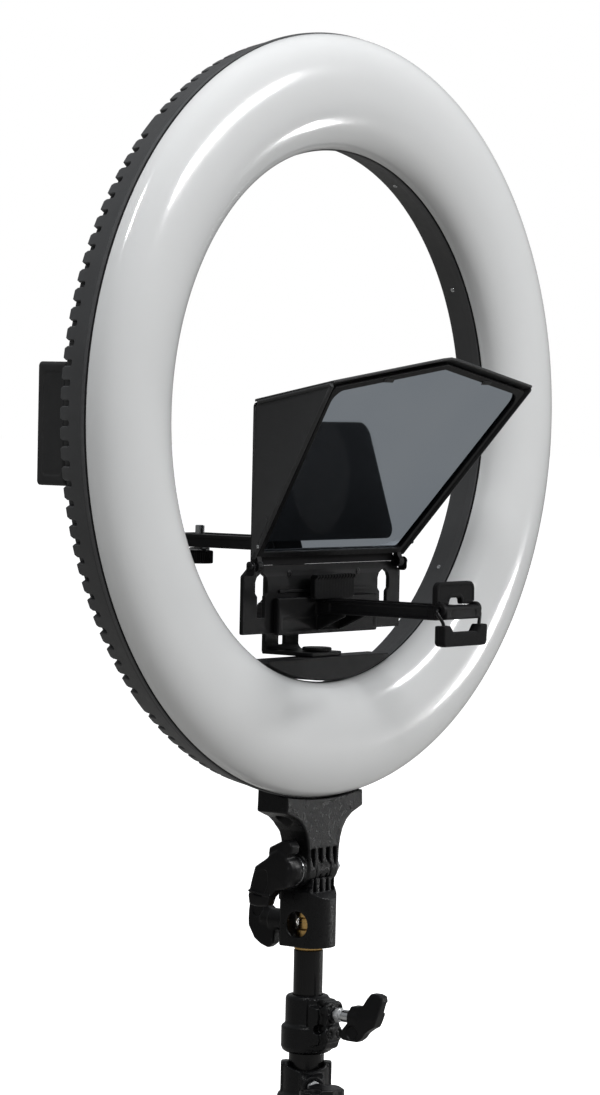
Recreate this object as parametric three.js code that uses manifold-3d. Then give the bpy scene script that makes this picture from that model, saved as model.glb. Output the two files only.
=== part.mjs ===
// Ring light with a phone teleprompter in its opening, on the top of a telescopic light stand.
// Millimetres, +Z up, front (lens and light side) faces -Y, +X to the right seen from the front.
// The geometry is laid out about the ring centre, in the joint plane between diffuser and housing;
// the outer group then moves the origin to the bottom centre of the stand tube.
import * as THREE from 'three';
import { mergeVertices } from 'three/addons/utils/BufferGeometryUtils.js';
import Module from 'manifold-3d';

const wasm = await Module();
wasm.setup();
const { Manifold, Mesh } = wasm;

// ---------------------------------------------------------------- driving dimensions
const RING_R = 240;            // outer radius at the joint plane
const RING_BACK_R = 235.9;     // outer radius at the back edge
const HOLE_R = 166.6;          // hole radius at the joint plane
const HOLE_BACK_R = 171.1;     // hole radius at the back edge
const HOUSING_DEPTH = 22.5;    // depth of the rear housing behind the joint plane
const DOME_HEIGHT = 19.0;      // how far the diffuser bulges forward
const DOME_POWER = 2.2;        // superellipse exponent of the diffuser section
const DOME_WALL = 2.4;
const SHELL_WALL = 2.2;        // wall of the housing and the control box
const GAP = 0.3;               // assembly clearance

const STAND_Y = 9.2;           // stand axis, behind the joint plane
const BASE_Z = -560;           // bottom of the stand tube
const HINGE_Z = -285.5;        // tilt hinge, on the stand axis
const TOP_TUBE_R = 9.3;
const MIDDLE_TUBE_R = 11.25;
const LOWER_TUBE_R = 13.6;
const TUBE_WALL = 1.4;

const SHELF_Z = -151;          // top of the shelf in the bottom of the ring opening
const SHELF_SCREW_Y = 7.5;
const RAIL_Z = -77.2;          // top of the camera rail
const RAIL_HEIGHT = 8.2;
const LENS_Z = -38;            // optical axis of the camera lens

const MIRROR_Y = -0.8;         // foot of the mirror plane
const MIRROR_Z = -90.7;
const MIRROR_SLOPE = Math.atan2(113.5, 82.8);   // above the horizontal, rising forward

// ---------------------------------------------------------------- materials
const FINISHES = {
  charcoal: { color: 0x3c3d3e, roughness: 0.55 },
  black: { color: 0x1b1b1c, roughness: 0.45 },
  satin: { color: 0x242425, roughness: 0.4 },
  brass: { color: 0xb08440, roughness: 0.35, metalness: 0.9 },
  steel: { color: 0xb9bcc0, roughness: 0.3, metalness: 0.95 },
  diffuser: { color: 0xe3e5e6, roughness: 0.18 },
  ledBoard: { color: 0xe9e9e4, roughness: 0.5 },
  controlPanel: { color: 0x161617, roughness: 0.6 },
  circuitGreen: { color: 0x1d4a2d, roughness: 0.5 },
  rocker: { color: 0x121213, roughness: 0.3 },
  jack: { color: 0x0f0f10, roughness: 0.4 },
  topTube: { color: 0x141415, roughness: 0.35, metalness: 0.3 },
  tube: { color: 0x151516, roughness: 0.35, metalness: 0.3 },
  endPlug: { color: 0x202021, roughness: 0.8 },
  bracket: { color: 0x1c1c1d, roughness: 0.4, metalness: 0.2 },
  lensPanel: { color: 0x18181a, roughness: 0.7 },
  lensRing: { color: 0x151516, roughness: 0.45, metalness: 0.4 },
  hoodSide: { color: 0x343536, roughness: 0.6 },
  hoodRoof: { color: 0x2a2b2c, roughness: 0.6 },
  glass: { color: 0x8d979f, roughness: 0.03, metalness: 0.1, transparent: true, opacity: 0.45 },
  padRubber: { color: 0x1a1a1b, roughness: 0.85 },
  gripRubber: { color: 0x19191a, roughness: 0.85 },
};

// ---------------------------------------------------------------- geometry to solid and back
function signedVolume(positions, triangles) {
  let sum = 0;
  for (let i = 0; i < triangles.length; i += 3) {
    const [a, b, c] = [0, 1, 2].map((k) => (
      new THREE.Vector3().fromArray(positions, triangles[i + k] * 3)));
    sum += a.dot(b.cross(c));
  }
  return sum;
}

// Welds the vertices, drops collapsed triangles and turns the faces outwards.
function toManifold(geometry) {
  geometry.deleteAttribute('normal');
  geometry.deleteAttribute('uv');
  const welded = mergeVertices(geometry, 1e-4);
  const positions = welded.attributes.position.array;
  const index = welded.index.array;
  const triangles = [];
  for (let i = 0; i < index.length; i += 3) {
    const [a, b, c] = [index[i], index[i + 1], index[i + 2]];
    if (a !== b && b !== c && a !== c) triangles.push(a, b, c);
  }
  if (signedVolume(positions, triangles) < 0) {
    for (let i = 0; i < triangles.length; i += 3) {
      [triangles[i], triangles[i + 1]] = [triangles[i + 1], triangles[i]];
    }
  }
  return new Manifold(new Mesh({
    numProp: 3,
    vertProperties: new Float32Array(positions),
    triVerts: new Uint32Array(triangles),
  }));
}

function toGeometry(solid) {
  const mesh = solid.getMesh();
  const geometry = new THREE.BufferGeometry();
  const positions = new Float32Array(mesh.vertProperties);
  geometry.setAttribute('position', new THREE.BufferAttribute(positions, 3));
  geometry.setIndex(new THREE.BufferAttribute(new Uint32Array(mesh.triVerts), 1));
  geometry.computeVertexNormals();
  return geometry;
}

// ---------------------------------------------------------------- outlines: lists of [u, v]
// Points on an arc from angle start to angle end, both ends included.
function arc(cu, cv, radius, start, end, steps) {
  return Array.from({ length: steps + 1 }, (_, i) => {
    const angle = start + (end - start) * i / steps;
    return [cu + radius * Math.cos(angle), cv + radius * Math.sin(angle)];
  });
}

const circle = (cu, cv, radius, segs) => arc(cu, cv, radius, 0, 2 * Math.PI, segs).slice(0, -1);

function roundedRect(u0, u1, v0, v1, radius, steps) {
  const right = Math.PI / 2;
  return [
    ...arc(u1 - radius, v1 - radius, radius, 0, right, steps),
    ...arc(u0 + radius, v1 - radius, radius, right, 2 * right, steps),
    ...arc(u0 + radius, v0 + radius, radius, 2 * right, 3 * right, steps),
    ...arc(u1 - radius, v0 + radius, radius, 3 * right, 4 * right, steps),
  ];
}

// Rounds corners with quadratic curves. A corner is [u, v], or [u, v, its own radius].
function filleted(corners, steps, radius) {
  const towards = ([u0, v0], [u1, v1]) => {
    const length = Math.hypot(u1 - u0, v1 - v0);
    return { u: (u1 - u0) / length, v: (v1 - v0) / length, length };
  };
  return corners.flatMap((corner, i) => {
    const r = corner[2] ?? radius;
    if (!r) return [corner];
    const back = towards(corner, corners.at(i - 1));
    const ahead = towards(corner, corners[(i + 1) % corners.length]);
    const angle = Math.acos(back.u * ahead.u + back.v * ahead.v);
    const trim = Math.min(r / Math.tan(angle / 2), back.length * 0.49, ahead.length * 0.49);
    const [u, v] = corner;
    const bend = (k) => {
      const start = (1 - k) ** 2;
      const middle = 2 * k * (1 - k);
      const end = k * k;
      return [
        start * (u + back.u * trim) + middle * u + end * (u + ahead.u * trim),
        start * (v + back.v * trim) + middle * v + end * (v + ahead.v * trim),
      ];
    };
    return Array.from({ length: steps + 1 }, (_, k) => bend(k / steps));
  });
}

// A half outline followed by its mirror image in x, in reverse order.
const withMirror = (half) => [...half, ...half.map(([x, ...rest]) => [-x, ...rest]).reverse()];

// The x range from near to far on one side: -1 left, 1 right.
const SIDES = [-1, 1];
const span = (side, near, far) => (side < 0 ? [-far, -near] : [near, far]);

// ---------------------------------------------------------------- solids
function extruded(outline, options, holes = []) {
  const toVectors = (points) => points.map(([u, v]) => new THREE.Vector2(u, v));
  const shape = new THREE.Shape(toVectors(outline));
  for (const hole of holes) shape.holes.push(new THREE.Path(toVectors(hole)));
  return new THREE.ExtrudeGeometry(shape, { bevelEnabled: false, ...options });
}

// An outline in plane 'XY', 'XZ' or 'YZ', extruded from start to end along the third axis.
function prism(plane, outline, start, end, holes) {
  const geometry = extruded(outline, { depth: end - start }, holes);
  geometry.translate(0, 0, plane === 'XZ' ? -end : start);
  if (plane === 'XZ') geometry.rotateX(Math.PI / 2);
  if (plane === 'YZ') {
    geometry.applyMatrix4(new THREE.Matrix4().set(0, 0, 1, 0, 1, 0, 0, 0, 0, 1, 0, 0, 0, 0, 0, 1));
  }
  return toManifold(geometry);
}

// Turns a geometry made along Y onto another axis.
function aimAlong(axis, geometry) {
  if (axis === 'Z') geometry.rotateX(Math.PI / 2);
  if (axis === 'X') geometry.rotateZ(-Math.PI / 2);
}

// A [radius, height] profile turned about an axis through the origin.
// A profile that starts off the axis is closed into a ring section.
function turned(axis, profile, segs) {
  const closed = profile[0][0] > 0 ? [...profile, profile[0]] : profile;
  const geometry = new THREE.LatheGeometry(closed.map(([r, h]) => new THREE.Vector2(r, h)), segs);
  aimAlong(axis, geometry);
  return toManifold(geometry);
}

const sleeve = (axis, inner, outer, start, end, segs) => (
  turned(axis, [[inner, start], [outer, start], [outer, end], [inner, end]], segs));

// Solid cylinder from start to end on its axis; u, v are its other two coordinates in xyz order.
function rod(axis, radius, start, end, u, v, segs) {
  const geometry = new THREE.CylinderGeometry(radius, radius, end - start, segs);
  geometry.translate(0, (start + end) / 2, 0);
  aimAlong(axis, geometry);
  const offsets = { X: [0, u, v], Y: [u, 0, v], Z: [u, v, 0] };
  geometry.translate(...offsets[axis]);
  return toManifold(geometry);
}

function box(x0, x1, y0, y1, z0, z1) {
  const geometry = new THREE.BoxGeometry(x1 - x0, y1 - y0, z1 - z0);
  geometry.translate((x0 + x1) / 2, (y0 + y1) / 2, (z0 + z1) / 2);
  return toManifold(geometry);
}

// A wire of round section along a smooth path of points.
function wire(points, radius, steps, segs) {
  const vectors = points.map((point) => new THREE.Vector3(...point));
  const extrudePath = new THREE.CatmullRomCurve3(vectors, false, 'catmullrom', 0.35);
  return toManifold(extruded(circle(0, 0, radius, segs), { steps, extrudePath }));
}

// A plate whose face passes through coplanar 3-D points, thickened against the face normal.
function plate(points, thickness) {
  const corners = points.map((point) => new THREE.Vector3(...point));
  const [origin, second, third] = corners;
  const along = second.clone().sub(origin);
  const normal = new THREE.Vector3().crossVectors(along, third.clone().sub(origin)).normalize();
  along.normalize();
  const across = new THREE.Vector3().crossVectors(normal, along);
  const outline = corners.map((corner) => {
    const offset = corner.clone().sub(origin);
    return [offset.dot(along), offset.dot(across)];
  });
  const geometry = extruded(outline, { depth: thickness });
  geometry.translate(0, 0, -thickness);
  geometry.applyMatrix4(new THREE.Matrix4().makeBasis(along, across, normal));
  geometry.translate(...origin);
  return toManifold(geometry);
}

// ---------------------------------------------------------------- assembly
const model = new THREE.Group();
model.position.set(0, -STAND_Y, -BASE_Z);
const groups = {};             // one group for each part that moves on its own

function add(groupName, meshName, finish, solid) {
  if (!groups[groupName]) {
    groups[groupName] = new THREE.Group();
    model.add(groups[groupName]);
  }
  const material = new THREE.MeshStandardMaterial(FINISHES[finish]);
  const mesh = new THREE.Mesh(toGeometry(solid), material);
  mesh.name = meshName;
  groups[groupName].add(mesh);
}

const onStand = (solid) => solid.translate([0, STAND_Y, 0]);
const onHinge = (solid) => solid.translate([0, STAND_Y, HINGE_Z]);

// ---------------------------------------------------------------- ring light
const RING_SEGS = 60;

// Channel section with tapering walls, open to the front.
function rearHousing() {
  const floor = HOUSING_DEPTH - 2.4;
  return turned('Y', [
    [RING_R, GAP],
    [RING_BACK_R + 0.3, HOUSING_DEPTH - 1.5],
    [RING_BACK_R - 1.2, HOUSING_DEPTH],
    [HOLE_BACK_R + 1.2, HOUSING_DEPTH],
    [HOLE_BACK_R - 0.3, HOUSING_DEPTH - 1.5],
    [HOLE_R, GAP],
    [HOLE_R + SHELL_WALL, GAP],
    [HOLE_BACK_R + SHELL_WALL, floor],
    [RING_BACK_R - SHELL_WALL, floor],
    [RING_R - SHELL_WALL, GAP],
  ], RING_SEGS);
}

// Hollow dome of superellipse section, bulging forward.
function diffuser() {
  const middleR = (RING_R + HOLE_R) / 2;
  const halfWidth = (RING_R - HOLE_R) / 2;
  const dome = (inset, steps) => Array.from({ length: steps + 1 }, (_, i) => {
    const cos = Math.cos(Math.PI * i / steps);
    const sin = Math.sin(Math.PI * i / steps);
    return [
      middleR + (halfWidth - inset) * Math.sign(cos) * Math.abs(cos) ** (2 / DOME_POWER),
      -(DOME_HEIGHT - inset) * Math.abs(sin) ** (2 / DOME_POWER),
    ];
  });
  return turned('Y', [...dome(0, 10), ...dome(DOME_WALL, 6).reverse()], RING_SEGS);
}

// Shelf across the bottom of the opening: flat top, arc underneath.
function innerShelf() {
  const halfWidth = 64.5;
  const end = Math.atan2(-152.6, halfWidth);
  const outline = [
    [-halfWidth + 2, SHELF_Z],
    ...arc(0, 0, HOLE_R - 0.6, -Math.PI - end, end, 14),
    [halfWidth - 2, SHELF_Z],
  ];
  return prism('XZ', outline, -3, 14.5)
    .subtract(rod('Z', 3.3, -175, -150, 0, SHELF_SCREW_Y, 16))
    .subtract(rod('Z', 6.6, -175, -157, 0, SHELF_SCREW_Y, 12));
}

add('ring', 'ring_rear_housing', 'charcoal', rearHousing());
add('ring', 'ring_diffuser', 'diffuser', diffuser());
add('ring', 'led_board', 'ledBoard', sleeve('Y', 178, 230, 16.4, 18, 48));
add('ring', 'inner_shelf', 'satin', innerShelf());

// ---------------------------------------------------------------- control box on the ring's back
const BOX = { x0: -228, x1: -168, z0: -42.8, z1: 30.2, front: HOUSING_DEPTH + GAP, back: 45.7 };
const KNOB_X = (BOX.x0 + BOX.x1) / 2;
const DIMMER_Z = 14;
const COLOUR_Z = -10;
const SWITCH_Z = -31;          // rocker and DC jack
const ROCKER_X = KNOB_X - 10;
const ROCKER_HALF = 6;
const JACK_X = KNOB_X + 12;

const insetBox = (inset, y0, y1) => (
  box(BOX.x0 + inset, BOX.x1 - inset, y0, y1, BOX.z0 + inset, BOX.z1 - inset));

function controlBoxShell() {
  const outline = roundedRect(BOX.x0, BOX.x1, BOX.z0, BOX.z1, 2.5, 3);
  return prism('XZ', outline, BOX.front, BOX.back)
    .subtract(insetBox(SHELL_WALL, BOX.front + SHELL_WALL, BOX.back + 1));
}

function controlPanel() {
  const y0 = BOX.back - 4;
  const y1 = BOX.back + 1;
  const halfSlot = ROCKER_HALF + GAP;
  let panel = insetBox(SHELL_WALL + GAP, BOX.back - 2.8, BOX.back - 0.6);
  for (const z of [DIMMER_Z, COLOUR_Z]) panel = panel.subtract(rod('Y', 3.4, y0, y1, KNOB_X, z, 16));
  return panel
    .subtract(box(ROCKER_X - halfSlot, ROCKER_X + halfSlot, y0, y1, SWITCH_Z - 5.3, SWITCH_Z + 5.3))
    .subtract(rod('Y', 4.6, y0, y1, JACK_X, SWITCH_Z, 15));
}

// Knob with a pointer slot in the upper half of its face.
function controlKnob(z) {
  return turned('Y', [
    [0, -2], [3.0, -2], [3.0, 0.4], [8.6, 0.4], [8.2, 9.5], [7.4, 10.4], [0, 10.4],
  ], 21)
    .subtract(box(-0.6, 0.6, 9.6, 12, 1.5, 8))
    .translate([KNOB_X, BOX.back, z]);
}

// Rocker with a shallow V across its face.
function powerRocker() {
  const outline = [             // [y behind the box's back edge, z]
    [-3.4, -4.9], [0.4, -4.9], [1.5, -4.4], [0.2, 0],
    [1.5, 4.4], [0.4, 4.9], [-3.4, 4.9], [-5.2, 0],
  ];
  return prism('YZ', outline, -ROCKER_HALF, ROCKER_HALF)
    .translate([ROCKER_X, BOX.back, SWITCH_Z]);
}

function dcJack() {
  return turned('Y', [
    [2.6, -10], [4.3, -10], [4.3, -0.4], [6.2, -0.4], [6.2, 0.9], [2.6, 0.9],
  ], 15).translate([JACK_X, BOX.back, SWITCH_Z]);
}

add('ring', 'control_box_shell', 'black', controlBoxShell());
add('ring', 'control_panel', 'controlPanel', controlPanel());
add('ring', 'driver_board', 'circuitGreen', insetBox(6, BOX.front + 4.2, BOX.front + 5.8));
add('dimmer', 'dimmer_knob', 'black', controlKnob(DIMMER_Z));
add('colour', 'colour_temp_knob', 'black', controlKnob(COLOUR_Z));
add('rocker', 'power_rocker', 'rocker', powerRocker());
add('ring', 'dc_jack', 'jack', dcJack());

// ---------------------------------------------------------------- tilt head under the ring
const EAR_R = 11;              // rounded ears of the yoke about the hinge
const YOKE_FRONT = STAND_Y - EAR_R;
const YOKE_BACK = STAND_Y + EAR_R;
const YOKE_BOLT_X = 27;
const YOKE_BOLT_Y = 10;
const HINGE_HOLE_R = 4.3;

// Right edge of the yoke, top to bottom: [x, z].
const YOKE_EDGE = [
  [40.1, -247.6], [36, -249.2], [29, -251.8], [23.5, -255.6], [19.6, -260.6],
  [17.2, -266.4], [15.9, -273], [15.2, -285.5], [14.4, -290.5], [11.6, -295.6],
];
const YOKE_SLOTS = [[-14, -9.6], [-6.4, -2], [1.4, 5.6], [8.9, 12.5]];   // [x0, x1]

const hingeHole = () => rod('X', HINGE_HOLE_R, -20, 20, STAND_Y, HINGE_Z, 18);

function headYoke() {
  const seatR = RING_BACK_R + 0.6;
  const seatHalfAngle = 0.1675;
  const down = Math.PI * 1.5;
  const outline = [
    ...arc(0, 0, seatR, down - seatHalfAngle, down + seatHalfAngle, 12),
    ...withMirror(YOKE_EDGE),
  ];
  const sideView = [
    [YOKE_FRONT - 1, -200],
    [YOKE_FRONT - 1, HINGE_Z],
    ...arc(STAND_Y, HINGE_Z, EAR_R, Math.PI, 2 * Math.PI, 12),
    [YOKE_BACK, -262],
    [YOKE_BACK + 2, -256],
    [YOKE_BACK + 2, -200],
  ];
  // seat that follows the taper of the housing
  const seat = turned('Y', [
    [0, -30], [RING_R + 0.7, -30], [RING_R + 0.7, GAP],
    [seatR, HOUSING_DEPTH + 0.4], [seatR, HOUSING_DEPTH + 12], [0, HOUSING_DEPTH + 12],
  ], 180);
  const tongueR = 11.5;
  const tongueGap = [
    ...arc(STAND_Y, HINGE_Z, tongueR, 0, Math.PI, 8),
    [STAND_Y - tongueR, -300],
    [STAND_Y + tongueR, -300],
  ];
  let yoke = prism('XZ', outline, YOKE_FRONT, YOKE_BACK + 1.8)
    .intersect(prism('YZ', sideView, -60, 60))
    .subtract(seat)
    .add(rod('X', 10, -19.8, -12, STAND_Y, HINGE_Z, 21))
    .subtract(prism('YZ', tongueGap, -7.6, 7.6))
    .subtract(hingeHole());
  // tapering slots in the front face
  for (const [x0, x1] of YOKE_SLOTS) {
    const slot = [[x0, -272], [x1, -272], [x1, -283.5], [x1 - 1.2, -283.5], [x0, -278]];
    yoke = yoke.subtract(prism('XZ', slot, YOKE_FRONT - 1, YOKE_FRONT + 2.4));
  }
  for (const side of SIDES) {
    yoke = yoke
      .subtract(rod('Z', 2.9, -260, -230, side * YOKE_BOLT_X, YOKE_BOLT_Y, 12))
      .subtract(rod('Z', 5.2, -262, -245.5, side * YOKE_BOLT_X, YOKE_BOLT_Y, 16));
  }
  return yoke;
}

function yokeBolt(side) {
  return turned('Z', [
    [0, -250.6], [4.4, -250.6], [4.4, -246.2], [2.4, -246.2], [2.4, -238.4], [0, -238.4],
  ], 12).translate([side * YOKE_BOLT_X, YOKE_BOLT_Y, 0]);
}

add('ring', 'head_yoke', 'black', headYoke());
add('ring', 'yoke_bolt_left', 'steel', yokeBolt(-1));
add('ring', 'yoke_bolt_right', 'steel', yokeBolt(1));

// ---------------------------------------------------------------- socket on the stand spigot
const SOCKET_TOP = -297.2;
const SOCKET_BOTTOM = -335.1;
const SOCKET_R = 17;           // round front of the socket
const SOCKET_HALF = 13.5;      // half width across the side flats
const SOCKET_KNOB_Z = -320.7;

function socketBody() {
  const flat = Math.acos(SOCKET_HALF / SOCKET_R);
  const plan = [
    ...arc(0, STAND_Y, SOCKET_R, Math.PI + flat, 2 * Math.PI - flat, 10),
    [SOCKET_HALF, 22], [11, 24.5], [-11, 24.5], [-SOCKET_HALF, 22],
  ];
  const frontSlope = [[-12, -306.6], [-1.6, -299.8], [-1.6, -290], [-12, -290]];
  const tongueR = 10.8;
  const tongue = [
    ...arc(STAND_Y, HINGE_Z, tongueR, -0.6, Math.PI + 0.6, 17),
    [STAND_Y - tongueR, SOCKET_TOP], [STAND_Y - tongueR, -303],
    [STAND_Y + tongueR, -303], [STAND_Y + tongueR, SOCKET_TOP],
  ];
  // low ridge along the top front edge
  const ridge = [
    [-1.6, -299], [-1.6, -290.6], [1.2, -293.5], [3.2, -295.1], [6.2, -296.4], [6.2, -299],
  ];
  let body = prism('XY', plan, SOCKET_BOTTOM, SOCKET_TOP - 3)
    .subtract(prism('YZ', frontSlope, -20, 20))
    .add(box(-13, 13, -1.6, 24.5, SOCKET_TOP - 8, SOCKET_TOP))
    .add(prism('YZ', tongue, -7.0, 7.0))
    .add(prism('YZ', ridge, -11.7, 11.7));
  for (const x of [-9.0, -2.6, 3.8, 9.6]) {
    const slot = [[x - 1.7, -299.5], [x + 1.7, -299.5], [x + 1.0, -289], [x - 1.0, -289]];
    body = body.subtract(prism('XZ', slot, -3, 0.9));
  }
  return body
    .subtract(hingeHole())
    .subtract(rod('Z', 8.25, -340, -306, 0, STAND_Y, 21))          // spigot bore
    .subtract(rod('X', 8.0, -20, 20, STAND_Y, SOCKET_KNOB_Z, 21))  // cross bore
    .subtract(rod('Y', 3.0, 12, 30, 0, SOCKET_KNOB_Z, 16));        // clamp screw
}

function tiltBolt() {
  return onHinge(turned('X', [
    [0, -19.8], [3.9, -19.8], [3.9, 17.6], [7.2, 17.6], [7.2, 22.4], [0, 22.4],
  ], 18));
}

// Round hub on the left end of the bolt, with a drooping arm and a low bar across the hub.
function tiltLever() {
  const hub = turned('X', [
    [0, -30.6], [7.2, -30.6], [8.8, -29], [9.8, -25.4], [9.8, -20.3], [0, -20.3],
  ], 21);
  const arm = [                 // [y, z]
    [4, -276.2], [11.5, -271.6], [20.6, -278.2], [29.2, -283.6], [34.2, -302.4],
    [33.2, -308.4], [19.2, -308.4], [17.0, -302.6], [11, -294.5], [4, -293],
  ];
  const bar = [
    [-2.5, -271.5], [-1.8, -266.8], [2.5, -265.6], [8, -267], [17.4, -271.6],
    [16.9, -276], [8, -277],
  ];
  return onHinge(hub)
    .add(prism('YZ', filleted(arm, 3, 2.5), -33.5, -23.5))
    .add(prism('YZ', bar, -31, -22));
}

// Clamp knob at the back of the socket, with an upright wing.
function socketKnob() {
  const hubFront = STAND_Y + 15.6;
  const wing = [                // [y, z]
    [33.6, -336.6], [38.0, -339.4], [48.6, -334.6], [55.0, -325], [55.6, -309],
    [51, -303.6], [45.6, -305.6], [42.6, -313.5], [33.6, -315.4],
  ];
  return turned('Y', [[0, hubFront], [6.4, hubFront], [7.0, 27.8], [7.0, 38], [0, 38]], 15)
    .translate([0, 0, SOCKET_KNOB_Z])
    .add(prism('YZ', filleted(wing, 3, 2.2), -4.6, 4.6))
    .add(rod('Y', 2.7, 18.2, 30, 0, SOCKET_KNOB_Z, 16));
}

add('socket', 'socket_body', 'black', socketBody());
add('tilt_lever', 'tilt_bolt', 'steel', tiltBolt());
add('ring', 'tilt_washer', 'steel', onHinge(sleeve('X', 4.6, 8.6, 16.2, 17.3, 15)));
add('tilt_lever', 'tilt_lever', 'satin', tiltLever());
add('socket_knob', 'socket_knob', 'satin', socketKnob());

// ---------------------------------------------------------------- light stand top
// Clamp collars: radii of the upper and lower step, direction of the screw in degrees from +X,
// reach of the screw boss and radius of the screw tip from the axis, roll of the wing.
const CLAMP_1 = {
  top: -366.0, bottom: -402.4, upperR: 14, lowerR: 16.4, bore: TOP_TUBE_R + 0.35,
  direction: -90, screwZ: -376.7, reach: 22.4, screwTip: 10.4, roll: 0,
};
const CLAMP_2 = {
  top: -408.6, bottom: -447, upperR: 15.7, lowerR: 18.2, bore: MIDDLE_TUBE_R + 0.35,
  direction: -129, screwZ: -422.4, reach: 20.6, screwTip: 12.3, roll: 90,
};
const UNDER_COLLAR = 0.4;      // from the underside of a collar to the top of its tube

const tube = (radius, bottom, top) => (
  onStand(sleeve('Z', radius - TUBE_WALL, radius, bottom, top, 24)));

function brassSpigot() {
  return onStand(turned('Z', [
    [0, -306.6], [6.6, -306.6], [7.9, -308.2], [7.9, -316.4], [6.6, -317.6],
    [6.6, -323.8], [7.9, -325], [7.9, -335.6], [9.1, -335.6], [9.1, -337.2],
    [7.6, -337.2], [7.6, -356], [0, -356],
  ], 21));
}

// Stepped round collar with a boss for the wing screw.
function collar({ top, bottom, upperR, lowerR, bore, direction, screwZ, reach }) {
  const step = top - (top - bottom) * 0.52;
  const body = turned('Z', [
    [0, bottom], [lowerR - 2.5, bottom], [lowerR, bottom + 3], [lowerR, step - 1],
    [upperR, step + 1.5], [upperR, top - 2], [upperR - 2, top], [0, top],
  ], 27);
  const boss = box(2, reach, -8.2, 8.2, bottom + 4, top - 1.2)
    .intersect(rod('X', 15.5, 0, 40, 0, (top + bottom) / 2, 21));
  const screwHole = rod('X', 3.2, bore - 2, upperR + 12, 0, screwZ, 16);
  return onStand(body
    .add(boss.rotate([0, 0, direction]))
    .subtract(rod('Z', bore, bottom - 1, top + 1, 0, 0, 27))
    .subtract(screwHole.rotate([0, 0, direction])));
}

// Wing knob with its screw, drawn along +X from the boss face with the wing upright.
function wingKnob({ direction, screwZ, reach, screwTip, roll }) {
  const wing = [                // [x, z, corner radius]
    [12, -3.6, 1], [13, 4, 1.5], [14.2, 7.3, 1.5], [23.4, 8.3, 3],
    [28.5, 16.4, 3], [40.1, 16.1, 2], [40.6, 12.4, 2], [34.4, -3.4, 5],
    [25.8, -7.6, 4], [18.6, -13.8, 4], [8, -14.5, 2], [5.4, -11.6, 2],
  ];
  return turned('X', [[0, 0.6], [5.2, 0.6], [5.2, 4.4], [4.2, 4.4], [4.2, 15], [0, 15]], 15)
    .add(rod('X', 2.8, screwTip - reach, 6, 0, 0, 16))
    .add(prism('XZ', filleted(wing, 3), -4.9, 4.9))
    .translate([reach, 0, 0])
    .rotate([roll, 0, direction])
    .translate([0, STAND_Y, screwZ]);
}

function tubeEndPlug() {
  const plugR = LOWER_TUBE_R - TUBE_WALL - 0.2;
  return onStand(turned('Z', [
    [0, BASE_Z], [14.6, BASE_Z], [14.6, -556.3], [plugR, -556.3], [plugR, -546], [0, -546],
  ], 24));
}

const middleTubeTop = CLAMP_1.bottom - UNDER_COLLAR;
const lowerTubeTop = CLAMP_2.bottom - UNDER_COLLAR;
add('stand_top', 'brass_spigot', 'brass', brassSpigot());
add('stand_top', 'top_tube', 'topTube', tube(TOP_TUBE_R, -510, -337.5));
add('stand_top', 'top_tube_stop_bush', 'black',
  onStand(sleeve('Z', 6.3, 9.5, -513.4, -510.3, 18)));
add('stand_middle', 'middle_tube', 'tube', tube(MIDDLE_TUBE_R, -538, middleTubeTop));
add('stand_middle', 'collar_1', 'black', collar(CLAMP_1));
add('stand_lower', 'lower_tube', 'tube', tube(LOWER_TUBE_R, -556, lowerTubeTop));
add('stand_lower', 'collar_2', 'black', collar(CLAMP_2));
add('stand_lower', 'tube_end_plug', 'endPlug', tubeEndPlug());
add('wing_1', 'wing_knob_1', 'satin', wingKnob(CLAMP_1));
add('wing_2', 'wing_knob_2', 'satin', wingKnob(CLAMP_2));

// ---------------------------------------------------------------- camera bracket in the opening
const LEG_FRONT = 35.5;
const LEG_BACK = 38.2;
const LEG_HALF = 17.8;         // half width of the angle bracket
const FOOT_Z = SHELF_Z + GAP;
const FOOT_TOP = FOOT_Z + 2.5;
const HEIGHT_KNOB_Z = -126;
const CAMERA_SCREW_Y = 104;

// Slotted upright leg with a foot on the shelf.
function angleBracket() {
  const slot = roundedRect(-3.3, 3.3, -147.2, -104.5, 3.2, 4);
  const leg = prism('XZ', roundedRect(-LEG_HALF, LEG_HALF, FOOT_Z, -101, 2, 3), LEG_FRONT, LEG_BACK)
    .subtract(prism('XZ', slot, LEG_FRONT - 1, LEG_BACK + 1));
  const footPlan = [            // [x, y, corner radius]
    [-LEG_HALF, LEG_BACK - 0.2, 0], [-LEG_HALF, -0.5, 4],
    [LEG_HALF, -0.5, 4], [LEG_HALF, LEG_BACK - 0.2, 0],
  ];
  const foot = prism('XY', filleted(footPlan, 3), FOOT_Z, FOOT_TOP)
    .subtract(rod('Z', 3.3, -153, -146, 0, SHELF_SCREW_Y, 16));
  return leg.add(foot);
}

function shelfThumbscrew() {
  const headZ = FOOT_TOP + 0.3;
  return turned('Z', [
    [0, -163.6], [3.0, -163.6], [3.0, headZ], [9.0, headZ],
    [9.4, -147.0], [8.6, -145.4], [0, -145.4],
  ], 18).translate([0, SHELF_SCREW_Y, 0]);
}

// Block between the bracket leg and the rail.
function railCarrier() {
  return box(-12, 12, 27, LEG_FRONT - GAP, -134, RAIL_Z - RAIL_HEIGHT - GAP)
    .subtract(rod('Y', 3.1, 26, 40, 0, HEIGHT_KNOB_Z, 16));
}

// Knob behind the leg, with six scallops round its rim.
function heightKnob() {
  const scallops = circle(0, HEIGHT_KNOB_Z, 11, 6)
    .map(([x, z]) => rod('Y', 2.4, 41.8, 52, x, z, 10));
  return turned('Y', [
    [0, 26.4], [2.9, 26.4], [2.9, LEG_BACK + 0.3], [7.4, LEG_BACK + 0.3],
    [9.6, 42], [9.6, 49.6], [8.4, 51], [0, 51],
  ], 18)
    .translate([0, 0, HEIGHT_KNOB_Z])
    .subtract(Manifold.compose(scallops));
}

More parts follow.
